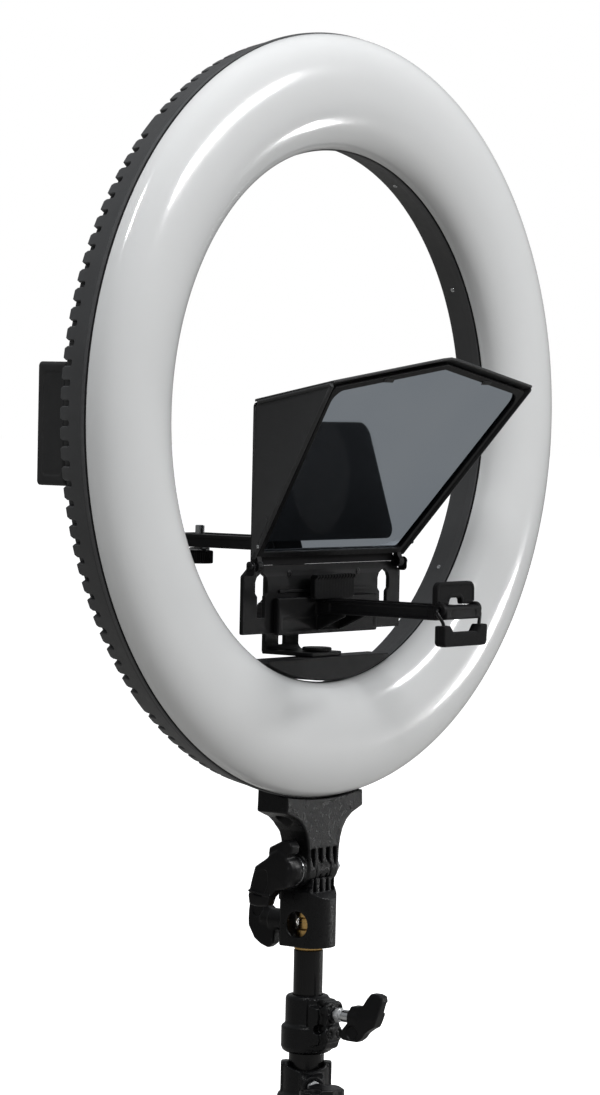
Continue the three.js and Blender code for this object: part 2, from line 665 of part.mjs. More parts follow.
// Rail with a long screw slot, recessed from above.
function cameraRail() {
  const slot = roundedRect(-3.4, 3.4, 43, 112, 3.3, 4);
  const recess = roundedRect(-7.2, 7.2, 39.5, 115, 4.5, 4);
  return box(-18, 18, 6.2, 118, RAIL_Z - RAIL_HEIGHT, RAIL_Z)
    .subtract(prism('XY', slot, RAIL_Z - 9, RAIL_Z + 1))
    .subtract(prism('XY', recess, RAIL_Z - 2.4, RAIL_Z + 1));
}

function cameraThumbscrew() {
  const tip = RAIL_Z + 5.4;
  return turned('Z', [
    [0, -96.6], [8.2, -96.6], [9.0, -95.6], [9.0, -88.6], [7, -86.2], [3.0, -86.2],
    [3.0, tip], [0, tip],
  ], 18).translate([0, CAMERA_SCREW_Y, 0]);
}

add('ring', 'angle_bracket', 'bracket', angleBracket());
add('shelf_screw', 'shelf_thumbscrew', 'satin', shelfThumbscrew());
add('ring', 'shelf_nut', 'steel',
  sleeve('Z', 3.7, 6.2, -163.0, -158.2, 6).translate([0, SHELF_SCREW_Y, 0]));
add('rail', 'rail_carrier', 'black', railCarrier());
add('height_knob', 'height_knob', 'satin', heightKnob());
add('rail', 'camera_rail', 'black', cameraRail());
add('screw_carriage', 'screw_washer', 'steel',
  sleeve('Z', 3.15, 6.8, RAIL_Z - 2.1, RAIL_Z - 0.6, 15).translate([0, CAMERA_SCREW_Y, 0]));
add('camera_screw', 'camera_thumbscrew', 'satin', cameraThumbscrew());

// ---------------------------------------------------------------- prompter body
// Base plate with two keyhole slots, two small holes and a rear tongue to the carrier.
function prompterBasePlate() {
  const outline = [
    [-82.3, -134.8], [82.3, -134.8], [82.3, -98.6], [74, -92.4], [-74, -92.4], [-82.3, -98.6],
  ];
  const keyhole = [             // [x from the slot centre, z]
    [-3.8, -124.8], [3.8, -124.8], [3.8, -111.6], [6, -109.4], [6, -102.6], [4.6, -99.6],
    [0, -96.8], [-4.6, -99.6], [-6, -102.6], [-6, -109.4], [-3.8, -111.6],
  ];
  const keyholes = SIDES.map((side) => keyhole.map(([x, z]) => [x + side * 64, z]));
  return prism('XZ', outline, 3.2, 5.9, keyholes)
    .add(box(-12, 12, 5.4, 26.7, -108, -104.8))
    .subtract(rod('Y', 2.2, 0, 8, -36, -98, 12))
    .subtract(rod('Y', 2.2, 0, 8, 36, -98, 12));
}

// Rear wall of the hood with the lens opening.
function lensPanel() {
  const outline = [[-74, -92.2], [74, -92.2], [74, 8.0], [0, 18.2], [-74, 8.0]];
  return prism('XZ', outline, 3.2, 4.8, [circle(0, LENS_Z, 39.6, 40)]);
}

function lensAdapterRing() {
  return turned('Y', [
    [36.2, 2.0], [43.5, 2.0], [43.5, 2.9], [39.2, 2.9], [39.2, 12.5], [36.2, 12.5],
  ], 30).translate([0, 0, LENS_Z]);
}

// Left side of the hood, splayed outwards to the front, with a flange back to the lens panel.
function hoodSide() {
  const corners = [
    [-78.4, 0.4, -88.0],        // rear bottom
    [-79.1, -1.5, -88.0],       // front bottom
    [-107.1, -80.4, 20.2],      // front top
    [-78.4, 0.4, 7.9],          // rear top
  ];
  const flange = [[-78.3, 0.3], [-76.8, -0.5], [-73.4, 3.1], [-75.0, 3.1]];
  return plate(corners, 2.0).add(prism('XY', flange, -84.5, 7.0));
}

// Roof of two halves that meet in a ridge on the centre line.
function hoodRoof() {
  const lower = [
    [-106.2, -80.4, 20.7],      // front left
    [0, -92, 36.7],             // front of the ridge
    [106.2, -80.4, 20.7],       // front right
    [75.0, 3.0, 8.4],           // rear right
    [0, 3.0, 18.6],             // rear of the ridge
    [-75.0, 3.0, 8.4],          // rear left
  ];
  const upper = lower.map(([x, y, z]) => [x, y, z + 2.0]);
  const positions = [];
  const triangle = (a, b, c) => positions.push(...a, ...b, ...c);
  for (const [a, b, c] of [[0, 1, 4], [0, 4, 5], [1, 2, 3], [1, 3, 4]]) {
    triangle(upper[a], upper[c], upper[b]);
    triangle(lower[a], lower[b], lower[c]);
  }
  for (let i = 0; i < 6; i++) {
    const j = (i + 1) % 6;
    triangle(lower[i], upper[i], upper[j]);
    triangle(lower[i], upper[j], lower[j]);
  }
  const geometry = new THREE.BufferGeometry();
  geometry.setAttribute('position', new THREE.BufferAttribute(new Float32Array(positions), 3));
  return toManifold(geometry);
}

add('rail', 'prompter_base_plate', 'black', prompterBasePlate());
add('rail', 'lens_panel', 'lensPanel', lensPanel());
add('rail', 'lens_adapter_ring', 'lensRing', lensAdapterRing());
add('rail', 'hood_left', 'hoodSide', hoodSide());
add('rail', 'hood_right', 'hoodSide', hoodSide().mirror([1, 0, 0]));
add('rail', 'hood_roof', 'hoodRoof', hoodRoof());

// ---------------------------------------------------------------- hinged mirror
const PIN_Y = MIRROR_Y + 0.2;
const PIN_Z = MIRROR_Z - 1.6;
const PIN_END = 82.4;          // outer end of the pin shank, where its head starts

// Places a solid drawn in (x, v, w): v runs up the slope, forward and up;
// w is the normal of the mirror plane, facing down and forward.
function onMirror(solid) {
  const cos = Math.cos(MIRROR_SLOPE);
  const sin = Math.sin(MIRROR_SLOPE);
  return solid.transform([
    1, 0, 0, 0,
    0, -cos, sin, 0,
    0, -sin, -cos, 0,
    0, MIRROR_Y, MIRROR_Z, 1,
  ]);
}

// Pentagonal bezel with a hinge lug at each bottom corner.
function mirrorFrame() {
  const outer = [[-75.2, 3], [75.2, 3], [101.9, 133.4], [0, 152.6], [-101.9, 133.4]];
  const inner = filleted([      // [x, v, corner radius]
    [-71.8, 7.2, 3], [71.8, 7.2, 3], [98, 130, 8], [0, 148.8, 3], [-98, 130, 8],
  ], 4);
  const web = [[-3.4, -91.5], [-1.9, -86.5], [-1.0, -85.2], [0.9, -86.6], [2.6, -91.0]];
  let frame = onMirror(prism('XY', outer, -3.4, -1.8, [inner]));
  for (const side of SIDES) {
    frame = frame
      .add(rod('X', 3.6, ...span(side, 71.4, 76.4), PIN_Y, PIN_Z, 15))
      .add(prism('YZ', web, ...span(side, 71.4, 76.0)));
  }
  return frame.subtract(rod('X', 1.6, -90, 90, PIN_Y, PIN_Z, 12));
}

// Glass behind the upper, rear face of the bezel.
function beamSplitterGlass() {
  const outline = filleted([    // [x, v, corner radius]
    [-73.6, 4.8, 2], [73.6, 4.8, 2], [100, 131.4, 8], [0, 150.2, 2], [-100, 131.4, 8],
  ], 4);
  return onMirror(prism('XY', outline, -4.9, -3.5));
}

function glassClip(side) {
  const x = side * 52;
  const v = 139.3;
  return onMirror(box(x - 5, x + 5, v - 1.9, v + 1.9, -1.7, -0.8));
}

function hingePin(side) {
  return rod('X', 1.45, ...span(side, 73, PIN_END), PIN_Y, PIN_Z, 12)
    .add(rod('X', 3.0, ...span(side, PIN_END, PIN_END + 1.6), PIN_Y, PIN_Z, 16));
}

// Ear on the body that carries a hinge pin.
function hingeEar(side) {
  const outline = [             // [y, z, corner radius]
    [-4.6, -98.4, 2.5], [2.9, -98.4, 0], [2.9, -88.4, 2], [-4.6, -88.4, 2.5],
  ];
  return prism('YZ', filleted(outline, 3), ...span(side, 79.2, 81.8))
    .subtract(rod('X', 1.75, -95, 95, PIN_Y, PIN_Z, 12));
}

add('mirror', 'mirror_frame', 'black', mirrorFrame());
add('mirror', 'beam_splitter_glass', 'glass', beamSplitterGlass());
add('mirror', 'glass_clip_left', 'satin', glassClip(-1));
add('mirror', 'glass_clip_right', 'satin', glassClip(1));
for (const side of SIDES) {
  const sideName = side < 0 ? 'left' : 'right';
  add('mirror', `hinge_pin_${sideName}`, 'steel', hingePin(side));
  add('rail', `hinge_ear_${sideName}`, 'black', hingeEar(side));
}

// ---------------------------------------------------------------- phone arm and clamp
const BAIL_Y = -100;           // pivot of the bail in the front jaw
const BAIL_Z = -116.2;

// Bar in front of the base plate, with an arm running forward under the phone.
function phoneArm() {
  return box(-52, 52, -1.4, 2.9, -136.0, -112.6)
    .add(box(-14, 14, -94, 0, -123.2, -114.4))
    .subtract(box(-8.2, 8.2, -96, -12, -121.2, -116.6))   // jaw slide channel, open at the front
    .subtract(box(-3.2, 3.2, -86, -20, -117, -113))       // slot in the top of the channel
    .subtract(box(-15, 15, -8.4, -1.4, -115.4, -113));    // relief under the rear jaw
}

function rearJaw() {
  const outline = [
    [-5.6, -114.1], [-1.8, -114.1], [-1.8, -98.6], [-7.4, -98.6], [-7.4, -100.4], [-5.6, -101.8],
  ];
  return prism('YZ', outline, -21, 21);
}

// Pad of the front jaw, with an arched opening and room for the bail pivots.
function jawPad() {
  const outline = filleted([    // [x, z, corner radius]
    [-20.3, -113.6, 1.5], [-20.3, -99.2, 5.5], [20.3, -99.2, 5.5], [20.3, -113.6, 1.5],
    [7.0, -113.6, 0.5], [5.6, -109.4, 2], [-5.6, -109.4, 2], [-7.0, -113.6, 0.5],
  ], 3);
  let pad = prism('XZ', outline, -98.6, -94.6).subtract(box(-25, 25, -99, -94, -114, -113.3));
  for (const side of SIDES) {
    pad = pad.subtract(rod('X', 4.9, ...span(side, 17, 24), BAIL_Y, BAIL_Z, 15));
  }
  return pad;
}

// Slide tongue with a crosspiece at the front and a pivot disc at each end.
function jawSlide() {
  const crosspiece = filleted([
    [-104.6, -122.2], [-95.2, -122.2], [-95.2, -113.7], [-104.6, -113.7],
  ], 3, 1.6);
  let slide = box(-7.9, 7.9, -98, -32, -120.9, -116.9)
    .add(prism('YZ', crosspiece, -18.6, 18.6));
  for (const side of SIDES) {
    slide = slide
      .add(rod('X', 4.4, ...span(side, 18, 20.2), BAIL_Y, BAIL_Z, 15))
      .subtract(rod('X', 1.55, ...span(side, 15, 22), BAIL_Y, BAIL_Z, 12));
  }
  return slide;
}

// Swinging wire loop under the front jaw.
function bailWire() {
  const half = [                // left half, from the pivot down: [x, y and z from the pivot]
    [-16.5, 0, 0], [-19.5, 0, 0], [-22.2, 0, 0], [-22.8, -1.2, -2.6],
    [-20.0, -2.6, -7.6], [-18.9, -3, -12], [-18.9, -3, -17.4], [-16.2, -3, -19.6],
  ];
  const path = withMirror(half).map(([x, y, z]) => [x, BAIL_Y + y, BAIL_Z + z]);
  return wire(path, 1.1, 44, 6);
}

// Grip round the bottom of the bail, with a groove at the back in which the wire lies.
function bailGrip() {
  const outline = filleted([    // [x, z, corner radius]
    [-23.5, -125.6, 1], [-23.5, -136.6, 2], [-21.4, -138.6, 2], [21.4, -138.6, 2],
    [23.5, -136.6, 2], [23.5, -125.6, 1], [15.8, -125.6, 1], [12.4, -129.9, 2],
    [-12.4, -129.9, 2], [-15.8, -125.6, 1],
  ], 3);
  const y0 = BAIL_Y - 4.5;
  const y1 = BAIL_Y + 2;
  const groove = box(-20.4, 20.4, y0, y1, -137.2, -133.6)
    .add(box(-20.4, -17.4, y0, y1, -134, -125))
    .add(box(17.4, 20.4, y0, y1, -134, -125));
  return prism('XZ', outline, BAIL_Y - 6.8, BAIL_Y + 0.8).subtract(groove);
}

add('rail', 'phone_arm', 'black', phoneArm());
add('rail', 'rear_jaw', 'black', rearJaw());
add('jaw', 'jaw_pad', 'padRubber', jawPad());
add('jaw', 'jaw_slide', 'black', jawSlide());
// return spring in the arm channel, drawn as a plain sleeve
add('rail', 'jaw_spring', 'steel',
  sleeve('Y', 1.4, 1.9, -30.8, -12.6, 12).translate([0, 0, -118.9]));
add('bail', 'bail_wire', 'black', bailWire());
add('bail', 'bail_grip', 'gripRubber', bailGrip());

export default model;
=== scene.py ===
# A ring light on a telescopic stand, with a tilt head, a camera bracket and a prompter: a tilted
# half-silvered glass under a hood, and a clamp for a phone. Shape numbers are millimetres about
# the ring centre: the front is -Y, up is +Z, and pieces called "left" lie on the -X side. row()
# moves them to the row frame, which is in metres.
import math

import bmesh
import bpy
import numpy as np
from mathutils import Matrix, Vector


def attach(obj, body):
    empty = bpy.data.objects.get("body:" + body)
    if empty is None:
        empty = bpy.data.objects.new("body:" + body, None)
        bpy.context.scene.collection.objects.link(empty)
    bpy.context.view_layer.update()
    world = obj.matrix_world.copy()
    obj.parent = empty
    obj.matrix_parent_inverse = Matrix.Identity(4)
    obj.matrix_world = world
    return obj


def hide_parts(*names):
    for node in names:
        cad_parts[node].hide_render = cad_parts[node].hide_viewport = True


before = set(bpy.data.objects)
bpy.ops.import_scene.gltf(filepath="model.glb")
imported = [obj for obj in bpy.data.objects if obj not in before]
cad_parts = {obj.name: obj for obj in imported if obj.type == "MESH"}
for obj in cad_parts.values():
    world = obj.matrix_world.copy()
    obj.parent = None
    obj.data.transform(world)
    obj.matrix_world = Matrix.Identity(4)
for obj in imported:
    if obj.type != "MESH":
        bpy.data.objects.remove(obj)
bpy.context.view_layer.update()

STAND_Y = 9.2                                   # the stand axis lies behind the ring centre
ROW_OFFSET = np.array([0.0, -STAND_Y, 560.0])
SIDES = (-1, 1)
SIDE_NAMES = ((-1, "left"), (1, "right"))


def row(points):
    """Millimetres about the ring centre to metres in the row frame."""
    return (np.asarray(points, float) + ROW_OFFSET) / 1000.0


def sided(side, near, far):
    """Range near..far from the centre plane, on the side with the given sign."""
    return sorted((side * near, side * far))


# ------------------------------------------------------------------ materials
class Shader:
    """Node tree of a material or world; inputs given as sockets are linked, others are set."""

    def __init__(self, owner, clear=True):
        owner.use_nodes = True
        self.tree = owner.node_tree
        if clear:
            self.tree.nodes.clear()

    def fill(self, node, inputs):
        for key, value in inputs.items():
            if isinstance(value, bpy.types.NodeSocket):
                self.tree.links.new(value, node.inputs[key])
            else:
                node.inputs[key].default_value = value
        return node

    def add(self, kind, inputs=None, **settings):
        node = self.tree.nodes.new("ShaderNode" + kind)
        for key, value in settings.items():
            setattr(node, key, value)
        return self.fill(node, inputs or {})

    def noise(self, vector, scale, detail, **inputs):
        inputs.update(Vector=vector, Scale=scale, Detail=detail)
        return self.add("TexNoise", inputs).outputs["Fac"]

    def ramp(self, factor, low, low_colour, high, high_colour):
        node = self.add("ValToRGB", {0: factor})
        first, last = node.color_ramp.elements
        first.position, last.position = low, high
        first.color, last.color = (*low_colour, 1), (*high_colour, 1)
        return node.outputs[0]

    def remap(self, value, from_range, to_range):
        return self.add("MapRange", {
            "Value": value, "From Min": from_range[0], "From Max": from_range[1],
            "To Min": to_range[0], "To Max": to_range[1]}).outputs[0]


ALONG_Z = (1, 1, 0.03)            # texture stretch of a drawn tube
AROUND_Z = (0.04, 0.04, 1)        # texture stretch of turned metal

# key: part slot, material name, base colour,
#      roughness, its spread, grain (mm), grain bump, colour mottle, patch size (mm), other settings
MATERIALS = {
    "opal": ("diffuser_white", "opal_diffuser", (0.700, 0.708, 0.712),
             0.15, 0.03, 1.2, 0.03, 0.012, 40, dict(coat=0.6, coat_rough=0.03, subsurface=0.08)),
    "charcoal": ("housing_charcoal", "charcoal_abs", (0.047, 0.048, 0.050),
                 0.50, 0.07, 0.5, 0.45, 0.16, 5, dict(edge_wear_and_highlight=0.35)),
    "abs": ("black_plastic", "black_abs", (0.0045, 0.0045, 0.0050),
            0.46, 0.08, 0.45, 0.4, 0.2, 4, dict(edge_wear_and_highlight=0.5, specular=0.15)),
    "cast": ("black_metal", "black_casting", (0.0036, 0.0037, 0.0042),
             0.31, 0.09, 0.7, 0.55, 0.25, 3.5, dict(edge_wear_and_highlight=0.9, specular=0.26)),
    "satin": ("black_plastic", "satin_nylon", (0.0042, 0.0042, 0.0047),
              0.34, 0.08, 0.5, 0.35, 0.2, 4, dict(edge_wear_and_highlight=0.9, specular=0.22)),
    "powder": ("black_metal", "powder_coat", (0.0036, 0.0037, 0.0042),
               0.44, 0.07, 0.6, 0.5, 0.2, 4, dict(edge_wear_and_highlight=0.6, specular=0.16)),
    "tube": ("tube_black", "black_tube", (0.0018, 0.0018, 0.0021),
             0.26, 0.07, 0.8, 0.18, 0.25, 3,
             dict(metal=0.05, stretch=ALONG_Z, coat=0.25, coat_rough=0.15, specular=0.24)),
    "hood": ("hood_black", "hood_sheet", (0.0290, 0.0295, 0.0305),
             0.52, 0.06, 0.55, 0.5, 0.10, 9, dict(edge_wear_and_highlight=0.5, specular=0.24)),
    "hood_in": ("hood_black", "hood_flock", (0.0040, 0.0040, 0.0045),
                0.85, 0.08, 0.5, 0.6, 0.25, 5, dict(sheen=0.1, specular=0.1)),
    "brass": ("brass", "turned_brass", (0.72, 0.46, 0.17),
              0.27, 0.08, 0.9, 0.12, 0.14, 3, dict(metal=1.0, stretch=AROUND_Z, scratches=0.25)),
    "steel": ("bright_steel", "bright_steel", (0.60, 0.61, 0.62),
              0.24, 0.08, 0.7, 0.15, 0.08, 2.5, dict(metal=1.0, stretch=AROUND_Z)),
    "rubber": ("grip_rubber", "grip_rubber", (0.0050, 0.0050, 0.0054),
               0.74, 0.08, 0.6, 0.6, 0.22, 4, dict(edge_wear_and_highlight=0.4, sheen=0.05, specular=0.10)),
    "pcb": ("board_green", "board_green", (0.012, 0.060, 0.022),
            0.42, 0.1, 0.8, 0.25, 0.25, 3, {}),
    "led": ("board_white", "board_white", (0.72, 0.72, 0.68),
            0.45, 0.06, 0.8, 0.2, 0.05, 5, {}),
    "amber": ("board_white", "led_phosphor", (0.85, 0.62, 0.10),
              0.35, 0.06, 0.8, 0.2, 0.1, 3, {}),
    "mark": ("board_white", "pad_print", (0.55, 0.55, 0.55),
             0.55, 0.06, 0.8, 0.2, 0.1, 3, {}),
    "shell": ("black_plastic", "box_shell", (0.0270, 0.0272, 0.0280),
              0.50, 0.07, 0.5, 0.45, 0.16, 5, dict(edge_wear_and_highlight=0.35, specular=0.25)),
    "zinc": ("bright_steel", "zinc_plate", (0.62, 0.63, 0.64),
             0.36, 0.08, 0.7, 0.2, 0.08, 2.5, dict(metal=0.55)),
    "wire": ("black_metal", "black_wire", (0.0040, 0.0040, 0.0045),
             0.30, 0.08, 0.6, 0.2, 0.25, 3, dict(metal=0.05, specular=0.3)),
}


def surface_material(name, base, rough, rough_spread, grain, bump, mottle, patch, metal=0.0,
                     specular=0.5, coat=0.0, coat_rough=0.1, edge_wear_and_highlight=0.0, stretch=(1, 1, 1),
                     scratches=0.0, sheen=0.0, subsurface=0.0):
    """Plastic, paint or metal: fine grain, mottled colour and roughness, and lighter edges that are
    partly rubbed and partly a painted highlight.
    """
    material = bpy.data.materials.new(name)
    shader = Shader(material)
    output = shader.add("OutputMaterial")
    place = shader.add("TexCoord").outputs["Object"]
    stretched = shader.add("Mapping", {"Vector": place, "Scale": stretch}).outputs[0]
    fine = shader.noise(stretched, 1000.0 / grain, 2.0)
    broad = shader.noise(place, 1000.0 / (patch * 6), 4.0)
    middle = shader.noise(stretched, 1000.0 / patch, 5.0, Roughness=0.65)
    # colour: darker and lighter patches of the base
    part = shader.add("Math", {0: middle, 1: 0.45}, operation="MULTIPLY").outputs[0]
    patches = shader.add("Math", {0: broad, 1: 0.55, 2: part}, operation="MULTIPLY_ADD")
    shade = np.array(base, float)
    colour = shader.ramp(patches.outputs[0], 0.30, shade * (1 - mottle),
                         0.72, shade * (1 + mottle))
    # lighter convex edges: partly rubbed, partly a painted highlight on the rims
    if edge_wear_and_highlight > 0:
        pointed = shader.add("NewGeometry").outputs["Pointiness"]
        edges = shader.remap(pointed, (0.515, 0.60), (0, edge_wear_and_highlight))
        worn_and_lit_edges = shader.add("Math", {0: edges, 1: middle}, operation="MULTIPLY").outputs[0]
        colour = shader.add("Mix", {"Factor": worn_and_lit_edges, "A": colour, "B": (*(shade * 4 + 0.02), 1)},
                            data_type="RGBA").outputs["Result"]
    # normal: grain, and turning marks where asked for
    normal = shader.add("Bump", {"Strength": bump, "Distance": grain * 0.00035,
                                 "Height": fine}).outputs[0]
    if scratches > 0:
        bands = shader.add("TexWave", {"Scale": 900.0, "Distortion": 1.5, "Detail": 2.0,
                                       "Vector": place}, wave_type="BANDS", bands_direction="Z")
        normal = shader.add("Bump", {"Strength": scratches, "Distance": 0.00008,
                                     "Height": bands.outputs["Fac"], "Normal": normal}).outputs[0]
    surface = shader.add("BsdfPrincipled", {
        "Base Color": colour,
        "Roughness": shader.remap(middle, (0.3, 0.7), (rough - rough_spread, rough + rough_spread)),
        "Normal": normal,
        "Metallic": metal,
        "IOR": 1.5,
        "Specular IOR Level": specular,
        "Coat Weight": coat,
        "Coat Roughness": coat_rough,
        "Sheen Weight": sheen,
    })
    if subsurface:
        shader.fill(surface, {"Subsurface Weight": subsurface, "Subsurface Radius": (1, 1, 1),
                              "Subsurface Scale": 0.006})
    shader.fill(output, {0: surface.outputs[0]})
    material.diffuse_color = (*base, 1)
    return material


def glass_material():
    """Half-silvered glass: mostly a dim cool mirror, partly see-through."""
    material = bpy.data.materials.new("mirror_glass")
    shader = Shader(material, clear=False)
    place = shader.add("TexCoord").outputs["Object"]
    tint = shader.ramp(shader.noise(place, 9.0, 2.0),
                       0.3, (0.375, 0.428, 0.495), 0.7, (0.420, 0.468, 0.525))
    rough = shader.remap(shader.noise(place, 60.0, 6.0), (0, 1), (0.015, 0.05))
    shader.fill(shader.tree.nodes["Principled BSDF"],
                {"Base Color": tint, "Roughness": rough, "Metallic": 1.0, "Alpha": 0.94})
    material.diffuse_color = (0.25, 0.28, 0.32, 0.6)
    return material


FINISH = {key: surface_material(*entry[1:-1], **entry[-1]) for key, entry in MATERIALS.items()}
FINISH["glass"] = glass_material()
SLOT = {key: entry[0] for key, entry in MATERIALS.items()}
SLOT["glass"] = "mirror_glass"


# ------------------------------------------------------------------ mesh helpers
def link(name, mesh):
    ob = bpy.data.objects.new(name, mesh)
    bpy.context.scene.collection.objects.link(ob)
    return ob


def discard(ob):
    mesh = ob.data
    bpy.data.objects.remove(ob)
    bpy.data.meshes.remove(mesh)


def raw(name, verts, faces):
    """Object from millimetre vertices."""
    mesh = bpy.data.meshes.new(name)
    places = [tuple(v) for v in row(np.asarray(verts, float))]
    mesh.from_pydata(places, [], [tuple(int(i) for i in face) for face in faces])
    mesh.validate()
    return link(name, mesh)


def clean(ob, distance=1e-8):
    """Merges doubled vertices and turns the faces outwards."""
    bm = bmesh.new()
    bm.from_mesh(ob.data)
    bmesh.ops.remove_doubles(bm, verts=bm.verts, dist=distance)
    bmesh.ops.recalc_face_normals(bm, faces=bm.faces)
    bm.to_mesh(ob.data)
    bm.free()


def bake(ob):
    """Applies every modifier."""
    graph = bpy.context.evaluated_depsgraph_get()
    mesh = bpy.data.meshes.new_from_object(ob.evaluated_get(graph), depsgraph=graph)
    ob.modifiers.clear()
    old = ob.data
    ob.data = mesh
    bpy.data.meshes.remove(old)


def finish(ob, keys, body, node=None, angle=32):
    """With several keys, the nth joined part takes the nth material.
    """
    keys = [keys] if isinstance(keys, str) else keys
    mesh = ob.data
    index = np.zeros(len(mesh.polygons), dtype=np.int32)
    mesh.polygons.foreach_get("material_index", index)
    mesh.materials.clear()
    for key in keys:
        mesh.materials.append(FINISH[key])
    mesh.polygons.foreach_set("material_index", np.minimum(index, len(keys) - 1))
    mesh.shade_smooth()
    if angle is not None:
        mesh.set_sharp_from_angle(angle=math.radians(angle))
        weighted = ob.modifiers.new("face_weighted", "WEIGHTED_NORMAL")
        weighted.keep_sharp = True
        weighted.weight = 70
    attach(ob, body)
    if node:
        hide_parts(node)


def boolean(ob, cutters, operation="DIFFERENCE", solver="EXACT"):
    for cutter in cutters:
        modifier = ob.modifiers.new("b", "BOOLEAN")
        modifier.operation = operation
        modifier.solver = solver
        modifier.object = cutter
    bake(ob)
    for cutter in cutters:
        discard(cutter)


def bevel(ob, width, segments, angle=30):
    modifier = ob.modifiers.new("bv", "BEVEL")
    modifier.width = width / 1000
    modifier.segments = segments
    modifier.limit_method = "ANGLE"
    modifier.angle_limit = math.radians(angle)
    modifier.miter_outer = "MITER_ARC"
    bake(ob)


def join(name, parts):
    """One object from several; faces of the nth part get material index n."""
    bm = bmesh.new()
    for number, part in enumerate(parts):
        first = len(bm.faces)
        bm.from_mesh(part.data)
        bm.faces.ensure_lookup_table()
        for face in bm.faces[first:]:
            face.material_index += number
    mesh = bpy.data.meshes.new(name)
    bm.to_mesh(mesh)
    bm.free()
    for part in parts:
        discard(part)
    return link(name, mesh)


def to_origin(ob):
    """Moves the ring centre to the origin of the mesh, ready to be turned."""
    ob.data.transform(Matrix.Translation(-Vector(row((0, 0, 0)))))


def place(ob, at, *turns):
    for turn in turns:
        ob.data.transform(turn)
    ob.data.transform(Matrix.Translation(Vector(row(at))))


def facing(normal):
    """Rotation from +Z to a normal."""
    return Vector((0, 0, 1)).rotation_difference(Vector(normal)).to_matrix().to_4x4()


def arc(x, y, radius, start, sweep_angle, steps):
    """steps + 1 points along an arc."""
    angles = [start + sweep_angle * i / steps for i in range(steps + 1)]
    return [(x + radius * math.cos(a), y + radius * math.sin(a)) for a in angles]


def circle(x, y, radius, count):
    return arc(x, y, radius, 0, 2 * math.pi, count)[:-1]


def fillet(points, radii, steps=5):
    """Rounds the corners of a closed polygon; radii is one number or one for each corner."""
    out = []
    for i, point in enumerate(points):
        corner = np.array(point, float)
        radius = radii[i] if isinstance(radii, list) else radii
        if not radius:
            out.append(tuple(corner))
            continue
        before = np.array(points[i - 1], float) - corner
        after = np.array(points[(i + 1) % len(points)], float) - corner
        length_before, length_after = np.linalg.norm(before), np.linalg.norm(after)
        before, after = before / length_before, after / length_after
        angle = math.acos(max(-1, min(1, float(before @ after))))
        if angle > 3.1 or angle < 0.05:
            out.append(tuple(corner))
            continue
        reach = min(radius / math.tan(angle / 2), length_before * 0.49, length_after * 0.49)
        fitted = reach * math.tan(angle / 2)
        bisector = (before + after) / np.linalg.norm(before + after)
        centre = corner + bisector * (fitted / math.sin(angle / 2))
        start = math.atan2(*(corner + before * reach - centre)[::-1])
        end = math.atan2(*(corner + after * reach - centre)[::-1])
        turn = (end - start + math.pi) % (2 * math.pi) - math.pi
        out += arc(centre[0], centre[1], fitted, start, turn, steps)
    return out


def rounded(x_low, x_high, y_low, y_high, radius, steps=6):
    """Rectangle with rounded corners."""
    corners = [(x_low, y_low), (x_high, y_low), (x_high, y_high), (x_low, y_high)]
    return fillet(corners, radius, steps)


def area(points):
    """Signed area, positive for a counter-clockwise outline."""
    p = np.asarray(points, float)
    return 0.5 * float(np.sum(p[:, 0] * np.roll(p[:, 1], -1) - np.roll(p[:, 0], -1) * p[:, 1]))


def inset(points, distance):
    """Polygon moved to its left side (inwards for a counter-clockwise outline)."""
    points = np.asarray(points, float)
    before, after = points - np.roll(points, 1, 0), np.roll(points, -1, 0) - points
    before /= np.linalg.norm(before, axis=1)[:, None] + 1e-12
    after /= np.linalg.norm(after, axis=1)[:, None] + 1e-12
    normal = np.stack([-before[:, 1], before[:, 0]], 1)
    middle = normal + np.stack([-after[:, 1], after[:, 0]], 1)
    middle /= np.linalg.norm(middle, axis=1)[:, None] + 1e-12
    slant = np.clip(np.sum(middle * normal, 1), 0.35, 1)
    return points + middle * (distance / slant)[:, None]


def axis_map(*order):
    """Map from arrays (u, v, w) to 3-D points; order gives the source of x, y and z."""
    return lambda *uvw: np.stack([uvw[i] for i in order], 1)


# outline in the named plane, thickness along the remaining axis
XY, XZ, YZ = axis_map(0, 1, 2), axis_map(0, 2, 1), axis_map(2, 0, 1)


def slab(name, outline, low, high, to_3d, holes=(), edge=0.4, segments=3):
    """Plate with rounded rims: an outline with holes, between two heights."""
    loops = [np.array(outline if area(outline) > 0 else outline[::-1], float)]
    loops += [np.array(hole if area(hole) < 0 else hole[::-1], float) for hole in holes]
    if edge > 0:
        angles = [math.pi / 2 * k / segments for k in range(segments + 1)]
        steps = [(edge * (1 - math.sin(a)), low + edge * (1 - math.cos(a))) for a in angles]
        angles = [math.pi / 2 * (1 - k / segments) for k in range(segments + 1)]
        steps += [(edge * (1 - math.sin(a)), high - edge * (1 - math.cos(a))) for a in angles]
    else:
        steps = [(0, low), (0, high)]
    bm = bmesh.new()
    bottom, top = [], []
    for loop in loops:
        rings = []
        for distance, height in steps:
            moved = inset(loop, distance) if distance > 1e-9 else loop
            places = row(to_3d(moved[:, 0], moved[:, 1], np.full(len(moved), height)))
            rings.append([bm.verts.new(v) for v in places])
        for lower, upper in zip(rings, rings[1:]):
            for i in range(len(loop)):
                j = (i + 1) % len(loop)
                bm.faces.new((lower[i], lower[j], upper[j], upper[i]))
        bottom.append(rings[0])
        top.append(rings[-1])
    for group in (bottom, top):
        if len(loops) == 1:
            bm.faces.new(group[0])
        else:
            edges = [bm.edges.get((ring[i], ring[(i + 1) % len(ring)]))
                     for ring in group for i in range(len(ring))]
            bmesh.ops.triangle_fill(bm, use_beauty=True, use_dissolve=False, edges=edges)
    bmesh.ops.recalc_face_normals(bm, faces=bm.faces)
    mesh = bpy.data.meshes.new(name)
    bm.to_mesh(mesh)
    bm.free()
    return link(name, mesh)


